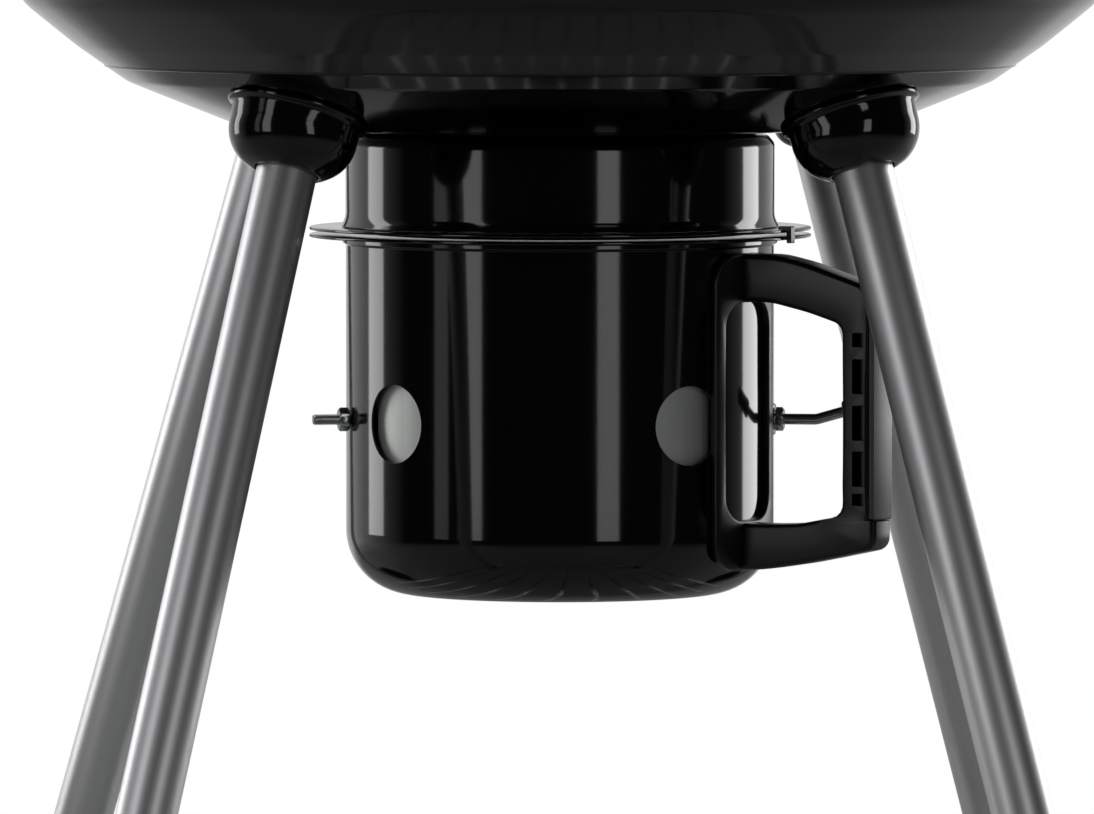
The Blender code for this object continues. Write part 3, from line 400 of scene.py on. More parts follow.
def buildBowl():
    inside = [(0.2903, 0.7425, 0), (0.2896, 0.6950, 0.3), (0.2884, 0.6381, 0.025), (0.2700, 0.6230, 0.05)]
    inside += [(0.2555, 0.6114, 0.05), (0.2400, 0.6003, 0.002), (0.2290, 0.5926, 0.02), (0.2018, 0.5816, 0.15)]
    inside += [(0.1749, 0.5710, 0.012), (0.1690, 0.5686, 0.0035), (0.1137, 0.5657, 0.02)]
    top, rim = bowl["rimTop"], bowl["rimOut"]
    rolled = [(0.2915, 0.7428, 0.0005), (0.2950, 0.7425, 0.001), (rim, 0.7440, 0.0024), (rim, top, 0.0028)]
    rolled += [(0.2903, top, 0.0024)]
    outline = bowlOutline()[:-1] + rolled + inside + [(bowl["throat"], bowl["floor"] + bowl["sheet"], 0)]
    showPiece("bowlShell", turned(outline, 192, closed=True), "black_enamel", "kettle", ["bowl"])


# The collar and the two ring plates that the pot hangs by.
collar = {"radius": 0.1137, "top": 0.5633, "end": 0.5143, "flare": 0.1162, "plate": 0.1330, "thick": 0.0014,
          "hole": 0.1000, "plateLow": 0.5126, "potPlateLow": 0.5088}


def buildCollar():
    r, top, end, flare = collar["radius"], collar["top"], collar["end"], collar["flare"]
    outline = [(0.1044, top, 0), (0.1100, top - 0.0006, 0.004), (r, top - 0.0050, 0.0042), (r, 0.5190, 0.02)]
    outline += [(flare, end, 0.0004), (flare - 0.0012, end, 0.0004), (r - 0.0012, 0.5190, 0.02)]
    outline += [(r - 0.0012, top - 0.0060, 0.0035), (0.1044, top - 0.0014, 0)]
    showPiece("collarDrum", turned(outline, 192, closed=True), "black_enamel", "kettle", ["ash_collar"])
    for name, low, body, node in (("collarPlate", collar["plateLow"], "kettle", "collar_ring_plate"),
                                  ("potPlate", collar["potPlateLow"], "ash_pot_unit", "pot_ring_plate")):
        inner, outer, high = collar["hole"], collar["plate"], low + collar["thick"]
        ring = [(x, z, 0.00045) for x, z in ((inner, low), (outer, low), (outer, high), (inner, high))]
        showPiece(name, turned(ring, 192, closed=True, step=45), "black_enamel", body, [node], sharp=50)


# The latch that hooks over both plates.
clip = {"azimuth": 60.8, "width": 0.0048}


def buildClip():
    top = collar["plateLow"] + collar["thick"] + clearance
    hook = [(0.1285, top, 0.0004), (0.1336, top, 0.0006), (0.1336, 0.5072, 0.0004), (0.1362, 0.5072, 0.0006)]
    hook += [(0.1362, top + 0.0018, 0.0012), (0.1285, top + 0.0018, 0.0006)]
    half = clip["width"] / 2
    mesh = slab(filleted(hook, closed=True, step=30), -half, half, 0.0002)
    showPiece("latchHook", placed(mesh, turnTo(clip["azimuth"])), "moulded_black", "kettle", ["latch_clip"])


# The ash pot, its air holes and the turning sleeve behind them.
pot = {"radius": 0.1135, "rim": 0.5085, "floor": 0.3195, "corner": 0.034, "sheet": 0.0012,
       "airHeight": 0.4127, "airHole": 0.0208, "airPlaces": (-53.6, 33.5, 126.4, 213.5)}
damper = {"radius": 0.1090, "half": 0.0280, "turn": 22.0, "lever": 77.3, "slotPlay": 2.0, "slotHalf": 0.0034}


def punch(radius, azimuth, z, start=0.100, end=0.125):
    # a round cutter that points outward at this azimuth
    cutter = lathe([(0, 0), (radius, 0), (radius, end - start), (0, end - start)], 72)
    return placed(cutter, lineFrame(around(azimuth, start, z), around(azimuth, end, z)))


def slotCutter(low, high, z, half):
    # a level slot through the wall, from one azimuth to another
    corners = [(0.105, z - half), (0.120, z - half), (0.120, z + half), (0.105, z + half)]
    turns = [low + (high - low) * k / 12 for k in range(13)]
    return skin([[around(azimuth, r, h) for r, h in corners] for azimuth in turns], caps=(0, -1))


def potOut(spot):
    # the outward direction of the pot's and the sleeve's upright walls, none on the floor and the rim
    upright = pot["floor"] + pot["corner"] < spot.z + 0.0001 and spot.z < pot["rim"] - 0.0040
    return Vector((spot.x, spot.y, 0)).normalized() if upright and hypot(spot.x, spot.y) > 0.1 else None


def buildPot():
    r, rim, low, corner, t = pot["radius"], pot["rim"], pot["floor"], pot["corner"], pot["sheet"]
    outline = [(0, low, 0), (r, low, corner), (r, rim - 0.0038, 0.0008), (r + 0.0018, rim - 0.0030, 0.0008)]
    outline += [(r + 0.0018, rim, 0.0009), (r - t, rim, 0.0005), (r - t, low + t, corner - t), (0, low + t, 0)]
    mesh = turned(outline, 192, step=6)
    cuts = [punch(pot["airHole"], azimuth, pot["airHeight"]) for azimuth in pot["airPlaces"]]
    start = damper["lever"]
    play, half = damper["slotPlay"], damper["slotHalf"]
    cuts.append(slotCutter(start - play, start + damper["turn"] + play, pot["airHeight"], half))
    obj = showPiece("potShell", carved(mesh, gathered(cuts)), "black_enamel", "ash_pot_unit", ["ash_pot"])
    trueNormals(obj.data, potOut)


def buildSleeve():
    r, half, z = damper["radius"], damper["half"], pot["airHeight"]
    inner = r - 0.0012
    wall = [(r, z + half), (r, z - half), (inner, z - half), (inner, z + half)]
    mesh = turned([(x, y, 0.0004) for x, y in wall], 192, closed=True, step=45)
    cuts = [punch(pot["airHole"], azimuth - damper["turn"], z) for azimuth in pot["airPlaces"]]
    mesh = carved(mesh, gathered(cuts))
    obj = showPiece("airSleeve", mesh, "galvanised_sheet", "air_damper", ["damper_sleeve"])
    trueNormals(obj.data, potOut)


# The bright lever that turns the sleeve, and the threaded stud on the other side.
lever = {"rod": 0.0029, "bend": 0.1375, "end": 0.1600, "rise": 16.0}
stud = {"azimuth": -81.2, "radius": 0.0030, "pitch": 0.0010, "depth": 0.00062, "end": 0.1335}
nutAcross = 0.0128


def threaded(radius, pitch, depth, start, end, sides=32, perPitch=6):
    # a rod along Z whose surface rises and falls along a helix, running out at its end
    rows = [[(0, 0, start)]]
    count = round((end - start) / pitch * perPitch)
    for i in range(count + 1):
        z = start + (end - start) * i / count
        fade = min(1.0, (end - z) / pitch)
        row = []
        for k in range(sides):
            phase = (i / perPitch + k / sides) % 1.0
            crest = 1 - abs(2 * phase - 1)
            r = radius - depth * (1 - crest) - 0.0005 * (1 - fade)
            a = 2 * pi * k / sides
            row.append((r * cos(a), r * sin(a), z))
        rows.append(row)
    return skin(rows + [[(0, 0, end)]])


def hexNut(across, low, high, hole):
    # a nut this far across its corners, chamfered on both faces as a turned nut is
    edge = 0.0007
    flat = across / 2 * cos(pi / 6)
    turns = [2 * pi * k / 48 for k in range(48)]
    hexagon = [min(flat / cos(a % (pi / 3) - pi / 6), across / 2 * 0.985) for a in turns]
    rows = []
    for z, radii in ((low, hole), (low, flat * 0.97), (low + edge, hexagon), (high - edge, hexagon),
                     (high, flat * 0.97), (high, hole)):
        radii = radii if radii is hexagon else [radii] * len(turns)
        rows.append([(r * cos(a), r * sin(a), z) for r, a in zip(radii, turns)])
    return skin(rows, closedRows=True)


def buildLever():
    along = Matrix.Translation((0, 0, pot["airHeight"])) @ turnTo(damper["lever"])
    outward = along @ Matrix.Rotation(pi / 2, 4, "Y")
    rise = (lever["end"] - lever["bend"]) * tan(radians(lever["rise"]))
    path = bent([(0.1050, 0, 0, 0), (lever["bend"], 0, 0, 0.010), (lever["end"], 0, rise, 0)])
    rod = tube(path, lever["rod"], 28, roundEnds=0.0008)
    showPiece("leverRod", placed(rod, along), "zinc_plate", "air_damper", ["damper_lever"])
    r = pot["radius"]
    washer = turned([(0.0032, r + 0.0006, 0.0002), (0.0084, r + 0.0006, 0.0004), (0.0084, r + 0.0018, 0.0004),
                     (0.0032, r + 0.0018, 0.0002)], 48, closed=True, step=30)
    nut = gathered([washer, hexNut(nutAcross, r + 0.0019, r + 0.0066, 0.0031)])
    showPiece("leverNut", placed(nut, outward), "zinc_plate", "air_damper", ["lever_nut"], sharp=30)
    aim = Vector((lever["end"] - lever["bend"], 0, rise)).normalized()
    base = Vector((lever["end"], 0, rise)) - aim * 0.0080
    cap = turned([(0.0032, 0, 0.0003), (0.0055, 0, 0.0008), (0.0050, 0.012, 0.05), (0.0055, 0.0240, 0.0020),
                  (0, 0.0240, 0)], 40)
    cap = placed(cap, lineFrame(base, base + aim))
    showPiece("leverCap", placed(cap, along), "moulded_black", "air_damper", ["lever_cap"])


def buildStud():
    height = Matrix.Translation((0, 0, pot["airHeight"]))
    outward = height @ turnTo(stud["azimuth"]) @ Matrix.Rotation(pi / 2, 4, "Y")
    r = pot["radius"]
    screw = threaded(stud["radius"], stud["pitch"], stud["depth"], r - 0.0020, stud["end"])
    head = turned([(0, r - 0.0038, 0), (0.0060, r - 0.0036, 0.0006), (0.0060, r - 0.0022, 0.0003),
                   (0, r - 0.0020, 0)], 40)
    screw = placed(gathered([screw, head]), outward)
    showPiece("studScrew", screw, "zinc_plate", "ash_pot_unit", ["guide_stud"], sharp=60)
    nut = placed(hexNut(nutAcross, r + 0.0006, r + 0.0062, 0.0029), outward)
    showPiece("studNut", nut, "zinc_plate", "ash_pot_unit", ["stud_nut"], sharp=30)


# The pot's moulded handle: a frame that lies on the wall, two arms and a grip with a cover strip.
handle = {"azimuth": 55.8, "top": 0.5018, "bottom": 0.3355, "half": 0.0295, "window": 0.0220,
          "windowLow": 0.3613, "windowHigh": 0.4762, "thick": 0.0035, "arm": 0.0095, "edge": 0.0030,
          "gripIn": 0.1768, "gripOut": 0.1935, "cover": 0.0034, "coverLow": 0.3640, "coverHigh": 0.4780}


def buildHandleFrame():
    # a rounded strip between the outer outline and the window, bent round the wall
    def cornerLoop(half, low, high, radius):
        middle, rise = (high + low) / 2, (high - low) / 2
        corners = [(-1, 1), (1, 1), (1, -1), (-1, -1)]
        return filleted([(x * half, middle + y * rise, radius) for x, y in corners], closed=True, step=10)

    far = cornerLoop(handle["half"], handle["bottom"], handle["top"], 0.016)
    near = cornerLoop(handle["window"], handle["windowLow"], handle["windowHigh"], 0.014)
    thick, edge = handle["thick"], 0.0012
    section = [(0.0, 0.0), (0.0, thick - edge)]
    turns = (pi / 8, pi / 4, 3 * pi / 8, pi / 2)
    section += [(edge * (1 - cos(a)), thick - edge + edge * sin(a)) for a in turns]
    section += [(-x, z) for x, z in reversed(section)]
    pairs = []
    for (x0, z0), (x1, z1), (u0, v0), (u1, v1) in zip(far, far[1:] + far[:1], near, near[1:] + near[:1]):
        count = max(1, round(hypot(x1 - x0, z1 - z0) / 0.004))
        for k in range(count):
            share = k / count
            pairs.append((Vector((x0 + (x1 - x0) * share, z0 + (z1 - z0) * share)),
                          Vector((u0 + (u1 - u0) * share, v0 + (v1 - v0) * share))))
    base = pot["radius"] + clearance
    rows = []
    for out, inn in pairs:
        unit = (inn - out).normalized()
        row = []
        for i, (x, height) in enumerate(section):
            spot = (out if i < len(section) / 2 else inn) + unit * x
            r, a = base + height, spot.x / base
            row.append((r * cos(a), r * sin(a), spot.y))
        rows.append(row)
    return skin(rows, closedRows=True)


def evenly(outline, count):
    # this many points, evenly spaced along an open outline
    lengths = [0.0]
    for (x0, z0), (x1, z1) in zip(outline, outline[1:]):
        lengths.append(lengths[-1] + hypot(x1 - x0, z1 - z0))
    spots = []
    k = 0
    for i in range(count):
        at = lengths[-1] * i / (count - 1)
        while k < len(outline) - 2 and lengths[k + 1] < at:
            k += 1
        share = (at - lengths[k]) / max(lengths[k + 1] - lengths[k], 1e-9)
        spots.append(Vector(outline[k]).lerp(Vector(outline[k + 1]), min(share, 1.0)))
    return spots


def buildHandleLoop():
    # the arms and the grip, swept between matching stretches of an outer and an inner outline
    top, bottom, gripIn, gripOut = handle["top"], handle["bottom"], handle["gripIn"], handle["gripOut"]
    ledge = handle["coverLow"] - clearance  # where the grip widens under its cover
    full = gripOut + handle["cover"]
    stretches = [
        ([(0.1155, top, 0), (0.1350, top, 0.04), (0.1545, 0.4977, 0.10), (0.1800, 0.4898, 0)],
         [(0.1155, 0.4767, 0), (0.1330, 0.4767, 0.04), (0.1550, 0.4720, 0.10), (0.1660, 0.4688, 0)], 14),
        ([(0.1800, 0.4898, 0), (gripOut, 0.4856, 0.0110), (gripOut, 0.4700, 0)],
         [(0.1660, 0.4688, 0), (gripIn, 0.4655, 0.0130), (gripIn, 0.4480, 0)], 14),
        ([(gripOut, 0.4700, 0), (gripOut, ledge + 0.0013, 0)],
         [(gripIn, 0.4480, 0), (gripIn, 0.3830, 0)], 24),
        ([(gripOut, ledge + 0.0013, 0), (gripOut, ledge + 0.0001, 0)],
         [(gripIn, 0.3830, 0), (gripIn, 0.3660, 0.0130), (0.1640, ledge, 0)], 10),
        ([(gripOut + 0.0002, ledge, 0), (full, ledge, 0.0004), (full, ledge - 0.0017, 0)],
         [(0.1639, ledge - 0.0001, 0), (0.1630, ledge - 0.0002, 0)], 8),
        ([(full, ledge - 0.0017, 0), (full, 0.3490, 0.0090), (0.1853, 0.3465, 0.02), (0.1700, 0.3433, 0)],
         [(0.1630, ledge - 0.0002, 0), (0.1600, 0.3629, 0)], 18),
        ([(0.1700, 0.3433, 0), (0.1545, 0.3402, 0.10), (0.1300, 0.3363, 0.10), (0.1155, bottom, 0)],
         [(0.1600, 0.3629, 0), (0.1500, 0.3610, 0.05), (0.1330, 0.3602, 0.05), (0.1155, 0.3602, 0)], 14)]
    pairs = []
    for out, inn, count in stretches:
        matched = list(zip(evenly(filleted(out, step=6), count), evenly(filleted(inn, step=6), count)))
        pairs += matched if not pairs else matched[1:]
    half = handle["arm"]
    corner = [pi / 2 * k / 4 for k in range(5)]
    rows = []
    for out, inn in pairs:
        width = (inn - out).length
        unit = (inn - out).normalized()
        bevel = min(handle["edge"], width * 0.3)
        edges = [(bevel * (1 - sin(a)), half - bevel * (1 - cos(a))) for a in reversed(corner)]
        edges += [(width - bevel * (1 - sin(a)), half - bevel * (1 - cos(a))) for a in corner]
        row = []
        for side, profile in ((1, edges), (-1, reversed(edges))):
            for x, y in profile:
                spot = out + unit * x
                row.append((spot.x, side * y, spot.y))
        rows.append(row)
    return skin(rows, caps=(0, -1))


def buildHandlePockets():
    # the moulding's lightening pockets, on both faces of the grip
    shallow, deep = 0.0035, 0.0120
    pockets = []
    for low, high in ((0.3716, 0.3780), (0.3816, 0.4000), (0.4057, 0.4240), (0.4300, 0.4483),
                      (0.4545, 0.4620)):
        corners = [(0.1835, low), (0.1910, low), (0.1910, high), (0.1835, high)]
        outline = filleted([(x, z, 0.0008) for x, z in corners], closed=True, step=30)
        pockets += [slab(outline, -deep, -shallow), slab(outline, shallow, deep)]
    return gathered(pockets)


def buildPotHandle():
    turn = turnTo(handle["azimuth"])
    mesh = gathered([buildHandleFrame(), carved(buildHandleLoop(), buildHandlePockets())])
    showPiece("potHandle", placed(mesh, turn), "moulded_black", "ash_pot_unit", ["pot_handle"], sharp=38)
    x0, x1 = handle["gripOut"] + clearance, handle["gripOut"] + handle["cover"]
    low, high = handle["coverLow"], handle["coverHigh"] - 0.002
    strip = [(x0, low, 0.0002), (x1, low, 0.0010), (x1, high, 0.0030), (x0, high, 0.0002)]
    cover = slab(filleted(strip, closed=True, step=20), -handle["arm"], handle["arm"], 0.0010)
    showPiece("gripCover", placed(cover, turn), "moulded_black", "ash_pot_unit", ["grip_cover"])
    outward = turn @ Matrix.Rotation(pi / 2, 4, "Y")
    r = pot["radius"]
    screw = [(0, r - 0.0044, 0), (0.0036, r - 0.0040, 0.0008), (0.0036, r - 0.0025, 0.0002),
             (0.0017, r - 0.0025, 0.0001), (0.0017, 0.1260, 0.0004), (0, 0.1260, 0)]
    for name, z in (("lower", 0.3530), ("upper", 0.4890)):
        mesh = placed(turned(screw, 32), Matrix.Translation((0, 0, z)) @ outward)
        showPiece(f"handleScrew{cornered(name)}", mesh, "zinc_plate", "ash_pot_unit", [f"handle_screw_{name}"])


# The legs: drawn tubes in domed sockets under the bowl. "at" is a point of the axis, "out" is how far it
# leans to the side and to the front or rear per metre down.
frontLeg = {"front": 1, "at": (0.1531, 0.1450, 0.5321), "out": (0.2303, 0.2750), "end": 0.0120,
            "cup": {"radius": 0.0338, "flange": 0.0372, "end": 0.5460, "corner": 0.0225, "shift": 0.0010}}
rearLeg = {"front": -1, "at": (0.1584, 0.1450, 0.5223), "out": (0.2697, 0.2034), "end": 0.0520,
           "cup": {"radius": 0.0235, "flange": 0.0262, "end": 0.5560, "corner": 0.0120, "shift": 0.0}}
legs = {"frontLeft": {"side": -1, **frontLeg}, "frontRight": {"side": 1, **frontLeg},
        "rearLeft": {"side": -1, **rearLeg}, "rearRight": {"side": 1, **rearLeg}}
tubing = {"radius": 0.0158, "wall": 0.0015, "top": 0.5640}


def cadName(name):
    return name.replace("Left", "_left").replace("Right", "_right")


def legPoint(leg, z):
    x, y, top = leg["at"]
    drop = top - z
    return Vector((leg["side"] * (x + leg["out"][0] * drop), -leg["front"] * (y + leg["out"][1] * drop), z))


def reachBowl(point, direction, offset):
    # how far along the direction the bowl's underside is, less an offset square to it
    low, high = 0.0, 0.12
    for _ in range(30):
        middle = (low + high) / 2
        spot = point + direction * middle
        if spot.z < bowlHeight(hypot(spot.x, spot.y)) - offset:
            low = middle
        else:
            high = middle
    return low


def legFrame(leg, z):
    # Z up along the leg's axis, from its point at this height
    return lineFrame(legPoint(leg, z), legPoint(leg, z + 0.05))


def buildSocket(name, leg):
    cup = leg["cup"]
    upward = legFrame(leg, cup["end"])
    direction = upward.to_3x3() @ Vector((0, 0, 1))
    outward = upward.to_3x3().inverted() @ Vector((leg["side"], 0, 0))
    shift = Vector((outward.x, outward.y, 0)).normalized() * cup["shift"]
    r, corner, flange = cup["radius"], cup["corner"], cup["flange"]
    flat = r - corner
    mouth = tubing["radius"] + 0.0009
    lip = mouth + 0.0010
    base = corner - sqrt(corner ** 2 - max(0.0, lip - flat) ** 2)  # the tube may enter on the rounded part
    # rows of (radius, height, what the height is from, share of the shift)
    rows = [(mouth, 0.012, 0, 0), (mouth, base + 0.0010, 0, 0)]
    rows += [(mouth + 0.0003, base + 0.0003, 0, 0), (lip, base, 0, 0)]
    first = asin(max(0.0, (lip + 0.0010 - flat) / corner))
    for k in range(17):
        a = first + (pi / 2 - first) * k / 16
        rows.append((flat + corner * sin(a), corner - corner * cos(a), 0, min(1.0, (k + 1) / 4)))
    rows += [(r + 0.0002, 0.0058, 1, 1), (r + 0.0006, 0.0044, 1, 1), (r + 0.0014, 0.0035, 1, 1)]
    rows += [(flange - 0.0008, 0.0031, 1, 1), (flange - 0.0002, 0.0027, 1, 1), (flange, 0.0021, 1, 1)]
    rows += [(flange, 0.0011, 1, 1), (flange - 0.0003, 0.0006, 1, 1), (flange - 0.0009, 0.0003, 1, 1)]
    rows += [(r - 0.0030, 0.0003, 1, 1)]
    spots = []
    for radius, height, fromBowl, share in rows:
        level = [upward @ (shift * share + Vector(spot)) for spot in circle(radius, 0, 96)]
        reaches = [reachBowl(p, direction, height) if fromBowl else height for p in level]
        spots.append([p + direction * reach for p, reach in zip(level, reaches)])
    showPiece(f"socket{cornered(name)}", skin(spots), "black_enamel", "kettle", ["socket_" + cadName(name)],
              sharp=50)


def buildLeg(name, leg):
    low, high = legPoint(leg, leg["end"]), legPoint(leg, tubing["top"])
    length = (high - low).length
    r, wall = tubing["radius"], tubing["wall"]
    outline = [(r - wall, 0, 0.0004), (r, 0, 0.0005), (r, length, 0.0005), (r - wall, length, 0.0004)]
    showPiece(f"tube{cornered(name)}", turned(outline, 96, closed=True, step=30), "satin_tube", "kettle",
              ["leg_" + cadName(name)], matrix=lineFrame(low, high))


def buildLegBolt(name, leg):
    # a flanged hexagon head on the bowl's inner face
    start = legPoint(leg, leg["cup"]["end"])
    upward = legFrame(leg, leg["cup"]["end"])
    seat = reachBowl(start, upward.to_3x3() @ Vector((0, 0, 1)), 0.0) + bowl["sheet"] + 0.0012
    shank = turned([(0, -0.004, 0), (0.0040, -0.004, 0.0006), (0.0040, seat, 0.0001), (0.0088, seat, 0.0005),
                    (0.0088, seat + 0.0012, 0.0005), (0.0030, seat + 0.0020, 0.0002), (0, seat + 0.0020, 0)], 40)
    bolt = gathered([shank, hexNut(0.0150, seat + 0.0010, seat + 0.0055, 0.0004)])
    showPiece(f"legBolt{cornered(name)}", placed(bolt, upward), "zinc_plate", "kettle",
              ["leg_bolt_" + cadName(name)], sharp=30)


# Rubber caps on the front legs, cut level with the floor, and plugs in the rear ones.
foot = {"radius": 0.0190, "height": 0.0350, "groove": 0.0007}


def buildFoot(name, leg):
    low, high = legPoint(leg, 0), legPoint(leg, foot["height"])
    upward = lineFrame(low, high)
    length = (high - low).length
    direction = (high - low).normalized()
    r = foot["radius"]
    groove, bore = 1 - foot["groove"] / r, (tubing["radius"] + 0.0004) / r
    # rows of (share of the radius, share of the length); below zero they are cut level with the floor
    rows = [(0.30, -1), (0.86, -1), (0.955, -1), (1.0, -0.9), (1.0, 0.20)]
    for z in (0.24, 0.38, 0.52, 0.66):
        rows += [(1.0, z), (groove, z + 0.015), (groove, z + 0.045), (1.0, z + 0.06)]
    rows += [(1.0, 0.95), (0.98, 0.985), (0.94, 1.0), (bore, 1.0), (bore, 0.80)]
    spots = []
    for share, z in rows:
        level = [upward @ Vector(spot) for spot in circle(r * share, 0, 64)]
        lift = 0.0 if z == -1 else 0.0012
        spots.append([p + direction * ((lift - p.z) / direction.z if z < 0 else length * z) for p in level])
    showPiece(f"footCap{cornered(name)}", skin(spots, caps=(0,)), "black_rubber", "kettle", [f"foot_cap_{name}"])


def buildPlug(name, leg):
    end, down = legPoint(leg, leg["end"]), legPoint(leg, leg["end"] - 0.02)
    r = tubing["radius"]
    inner = r - tubing["wall"] - 0.0006
    outline = [(0, -0.008, 0), (inner, -0.008, 0.001), (inner, 0.0003, 0.0001), (r, 0.0003, 0.0004),
               (r, 0.0022, 0.0012), (r - 0.004, 0.0044, 0.004), (0, 0.0045, 0)]
    mesh = placed(turned(outline, 48), lineFrame(end, down))
    showPiece(f"legPlug{cornered(name)}", mesh, "moulded_black", "kettle", [f"leg_plug_{name}"])


# Wheels: a dished disc with ribs on each face, and a tyre with a block tread.
wheel = {"radius": 0.0750, "half": 0.0150, "rim": 0.0630, "axle": 0.0050, "hub": 0.0080, "ribs": 8,
         "blocks": 36, "groove": 0.0012}


def wheelSpot(side):
    centre = legPoint(legs["rearRight" if side > 0 else "rearLeft"], wheel["radius"])
    return centre + Vector((side * (tubing["radius"] + wheel["hub"] + wheel["half"]), 0, 0))


def buildTyre():
    half, r = wheel["half"], wheel["radius"]
    profile = [(wheel["rim"], half - 0.003), (0.0665, half - 0.0012), (0.0705, half - 0.0010),
               (0.0730, half - 0.0030), (r - 0.0012, 0.0085), (r - 0.0002, 0.0060), (r, 0.0030)]
    profile += [(x, -z) for x, z in reversed(profile)]
    sides = wheel["blocks"] * 6
    rows = []
    for i, (x, z) in enumerate(profile):
        tread = 4 <= i <= len(profile) - 5
        row = []
        for k in range(sides):
            radius = x - wheel["groove"] if tread and k % 6 in (0, 1) else x
            a = 2 * pi * k / sides
            row.append((radius * cos(a), radius * sin(a), z))
        rows.append(row)
    return skin(rows, closedRows=True)


def buildWheels():
    right = wheelSpot(1)
    rim, half = wheel["rim"] - 0.0006, wheel["half"]
    end = right.x + half + 0.0055
    rod = tube([(-end, right.y, right.z), (end, right.y, right.z)], wheel["axle"], 32, roundEnds=0.0005)
    showPiece("axleRod", rod, "zinc_plate", "kettle", ["axle"])
    section = [(0.0053, half, 0.0008), (0.0150, half, 0.0015), (0.0170, 0.0040, 0.004)]
    section += [(rim - 0.007, 0.0030, 0.004), (rim - 0.004, half - 0.002, 0.0012), (rim, half - 0.002, 0.0008)]
    section += [(r, -z, f) for r, z, f in reversed(section)]
    rib = [(0.0145, -0.0100), (0.0145, 0.0100), (0.0570, 0.0075), (0.0570, -0.0075)]
    rib = filleted([(x, z, 0.001) for x, z in rib], closed=True, step=30)
    cap = [(0.0053, 0.0003, 0), (0.0120, 0.0003, 0.0006), (0.0120, 0.0060, 0.0030), (0.0080, 0.0100, 0.004),
           (0, 0.0110, 0)]
    for name, side in (("left", -1), ("right", 1)):
        unit = f"wheel_unit_{name}"
        disc = turned(section, 96, closed=True)
        ribs = []
        for k in range(wheel["ribs"]):
            blade = slab(rib, -0.0016, 0.0016, 0.0005)
            ribs.append(placed(blade, Matrix.Rotation(2 * pi * k / wheel["ribs"], 4, "Z")))
        matrix = Matrix.Translation(wheelSpot(side)) @ Matrix.Rotation(pi / 2, 4, "Y")
        disc = placed(gathered([disc, *ribs]), matrix)
        showPiece(f"wheelDisc{cornered(name)}", disc, "moulded_black", unit, [f"wheel_{name}"])
        tyre = placed(buildTyre(), matrix)
        showPiece(f"tyre{cornered(name)}", tyre, "tyre_rubber", unit, [f"tyre_{name}"], sharp=40)
        face = Matrix.Translation(wheelSpot(side) + Vector((side * half, 0, 0)))
        mesh = placed(turned(cap, 48), face @ Matrix.Rotation(side * pi / 2, 4, "Y"))
        showPiece(f"hubCap{cornered(name)}", mesh, "zinc_plate", "kettle", [f"hub_cap_{name}"])


# The wire shelf between the legs.
shelf = {"z": 0.1400, "rail": 0.0030, "wire": 0.0024, "wires": 9, "pitch": 0.040, "side": 0.200}


def buildShelf():
    z, wire, rail = shelf["z"], shelf["wire"], shelf["rail"]
    front, rear = legPoint(legs["frontRight"], z), legPoint(legs["rearRight"], z)
    bars = []
    for corner in (front, rear):
        reach = corner.x - tubing["radius"] * 1.06
        bars.append(tube([(-reach, corner.y, z), (reach, corner.y, z)], rail, 16, roundEnds=0.0006))
    middle = (shelf["wires"] - 1) / 2
    places = [(shelf["pitch"] * (i - middle), wire, 0.0040) for i in range(shelf["wires"])]
    places += [(side * shelf["side"], rail, 0.0036) for side in (-1, 1)]
    for x, radius, lift in places:
        ends = [(x, front.y - 0.0030, z + lift), (x, rear.y + 0.0030, z + lift)]
        bars.append(tube(ends, radius, 14, roundEnds=0.0008))
    showPiece("shelfRack", gathered(bars), "plated_wire", "kettle", ["wire_shelf"])


# Side grips, on posts through the bowl's wall.
grip = {"z": 0.7000, "spread": 0.0650, "out": 0.3320, "bend": 0.014, "radius": 0.0085}


def buildSideGrip(name, side):
    z, spread, out = grip["z"], grip["spread"], grip["out"]
    start = sqrt(0.2918 ** 2 - spread ** 2)
    path = bent([(start, -spread, z, 0), (out, -spread, z, grip["bend"]), (out, spread, z, grip["bend"]),
                 (start, spread, z, 0)], 10)
    bar = tube(path, grip["radius"], 28, roundEnds=0.0004)
    for v in bar.vertices:  # a flatter section, with a shallow finger wave under the bar
        v.co.z = z + (v.co.z - z) * (0.94 if v.co.x > 0.3180 else 1.0)
        if v.co.x > 0.3235 and abs(v.co.y) < 0.048 and v.co.z < z:
            v.co.z += 0.0012 * (1 + cos(v.co.y * 2 * pi / 0.024)) / 2
    rose = [(0.0075, 0, 0.0005), (0.0125, 0, 0.0008), (0.0115, 0.0050, 0.002), (0.0080, 0.0060, 0.001)]
    collars = []
    for y in (-spread, spread):
        wall = Vector((sqrt(0.2914 ** 2 - y ** 2) - 0.0012, y, z))
        mesh = turned(rose, 40, closed=True, step=20)
        collars.append(placed(mesh, Matrix.Translation(wall) @ Matrix.Rotation(pi / 2, 4, "Y")))
    mesh = placed(gathered([bar, *collars]), Matrix.Rotation(0 if side > 0 else pi, 4, "Z"))
    showPiece(f"sideGrip{cornered(name)}", mesh, "moulded_black", "kettle", [f"side_handle_{name}"])


# Bent straps inside the bowl, and the two grates they carry.
strap = {"places": (30.0, 150.0, 270.0), "width": 0.0160, "thick": 0.0025, "high": 0.7120, "low": 0.6065}
grates = {"coal": 0.2160, "cook": 0.2740, "ring": 0.0032, "cookWire": 0.0028, "hinge": 0.1650, "lift": 0.0014}


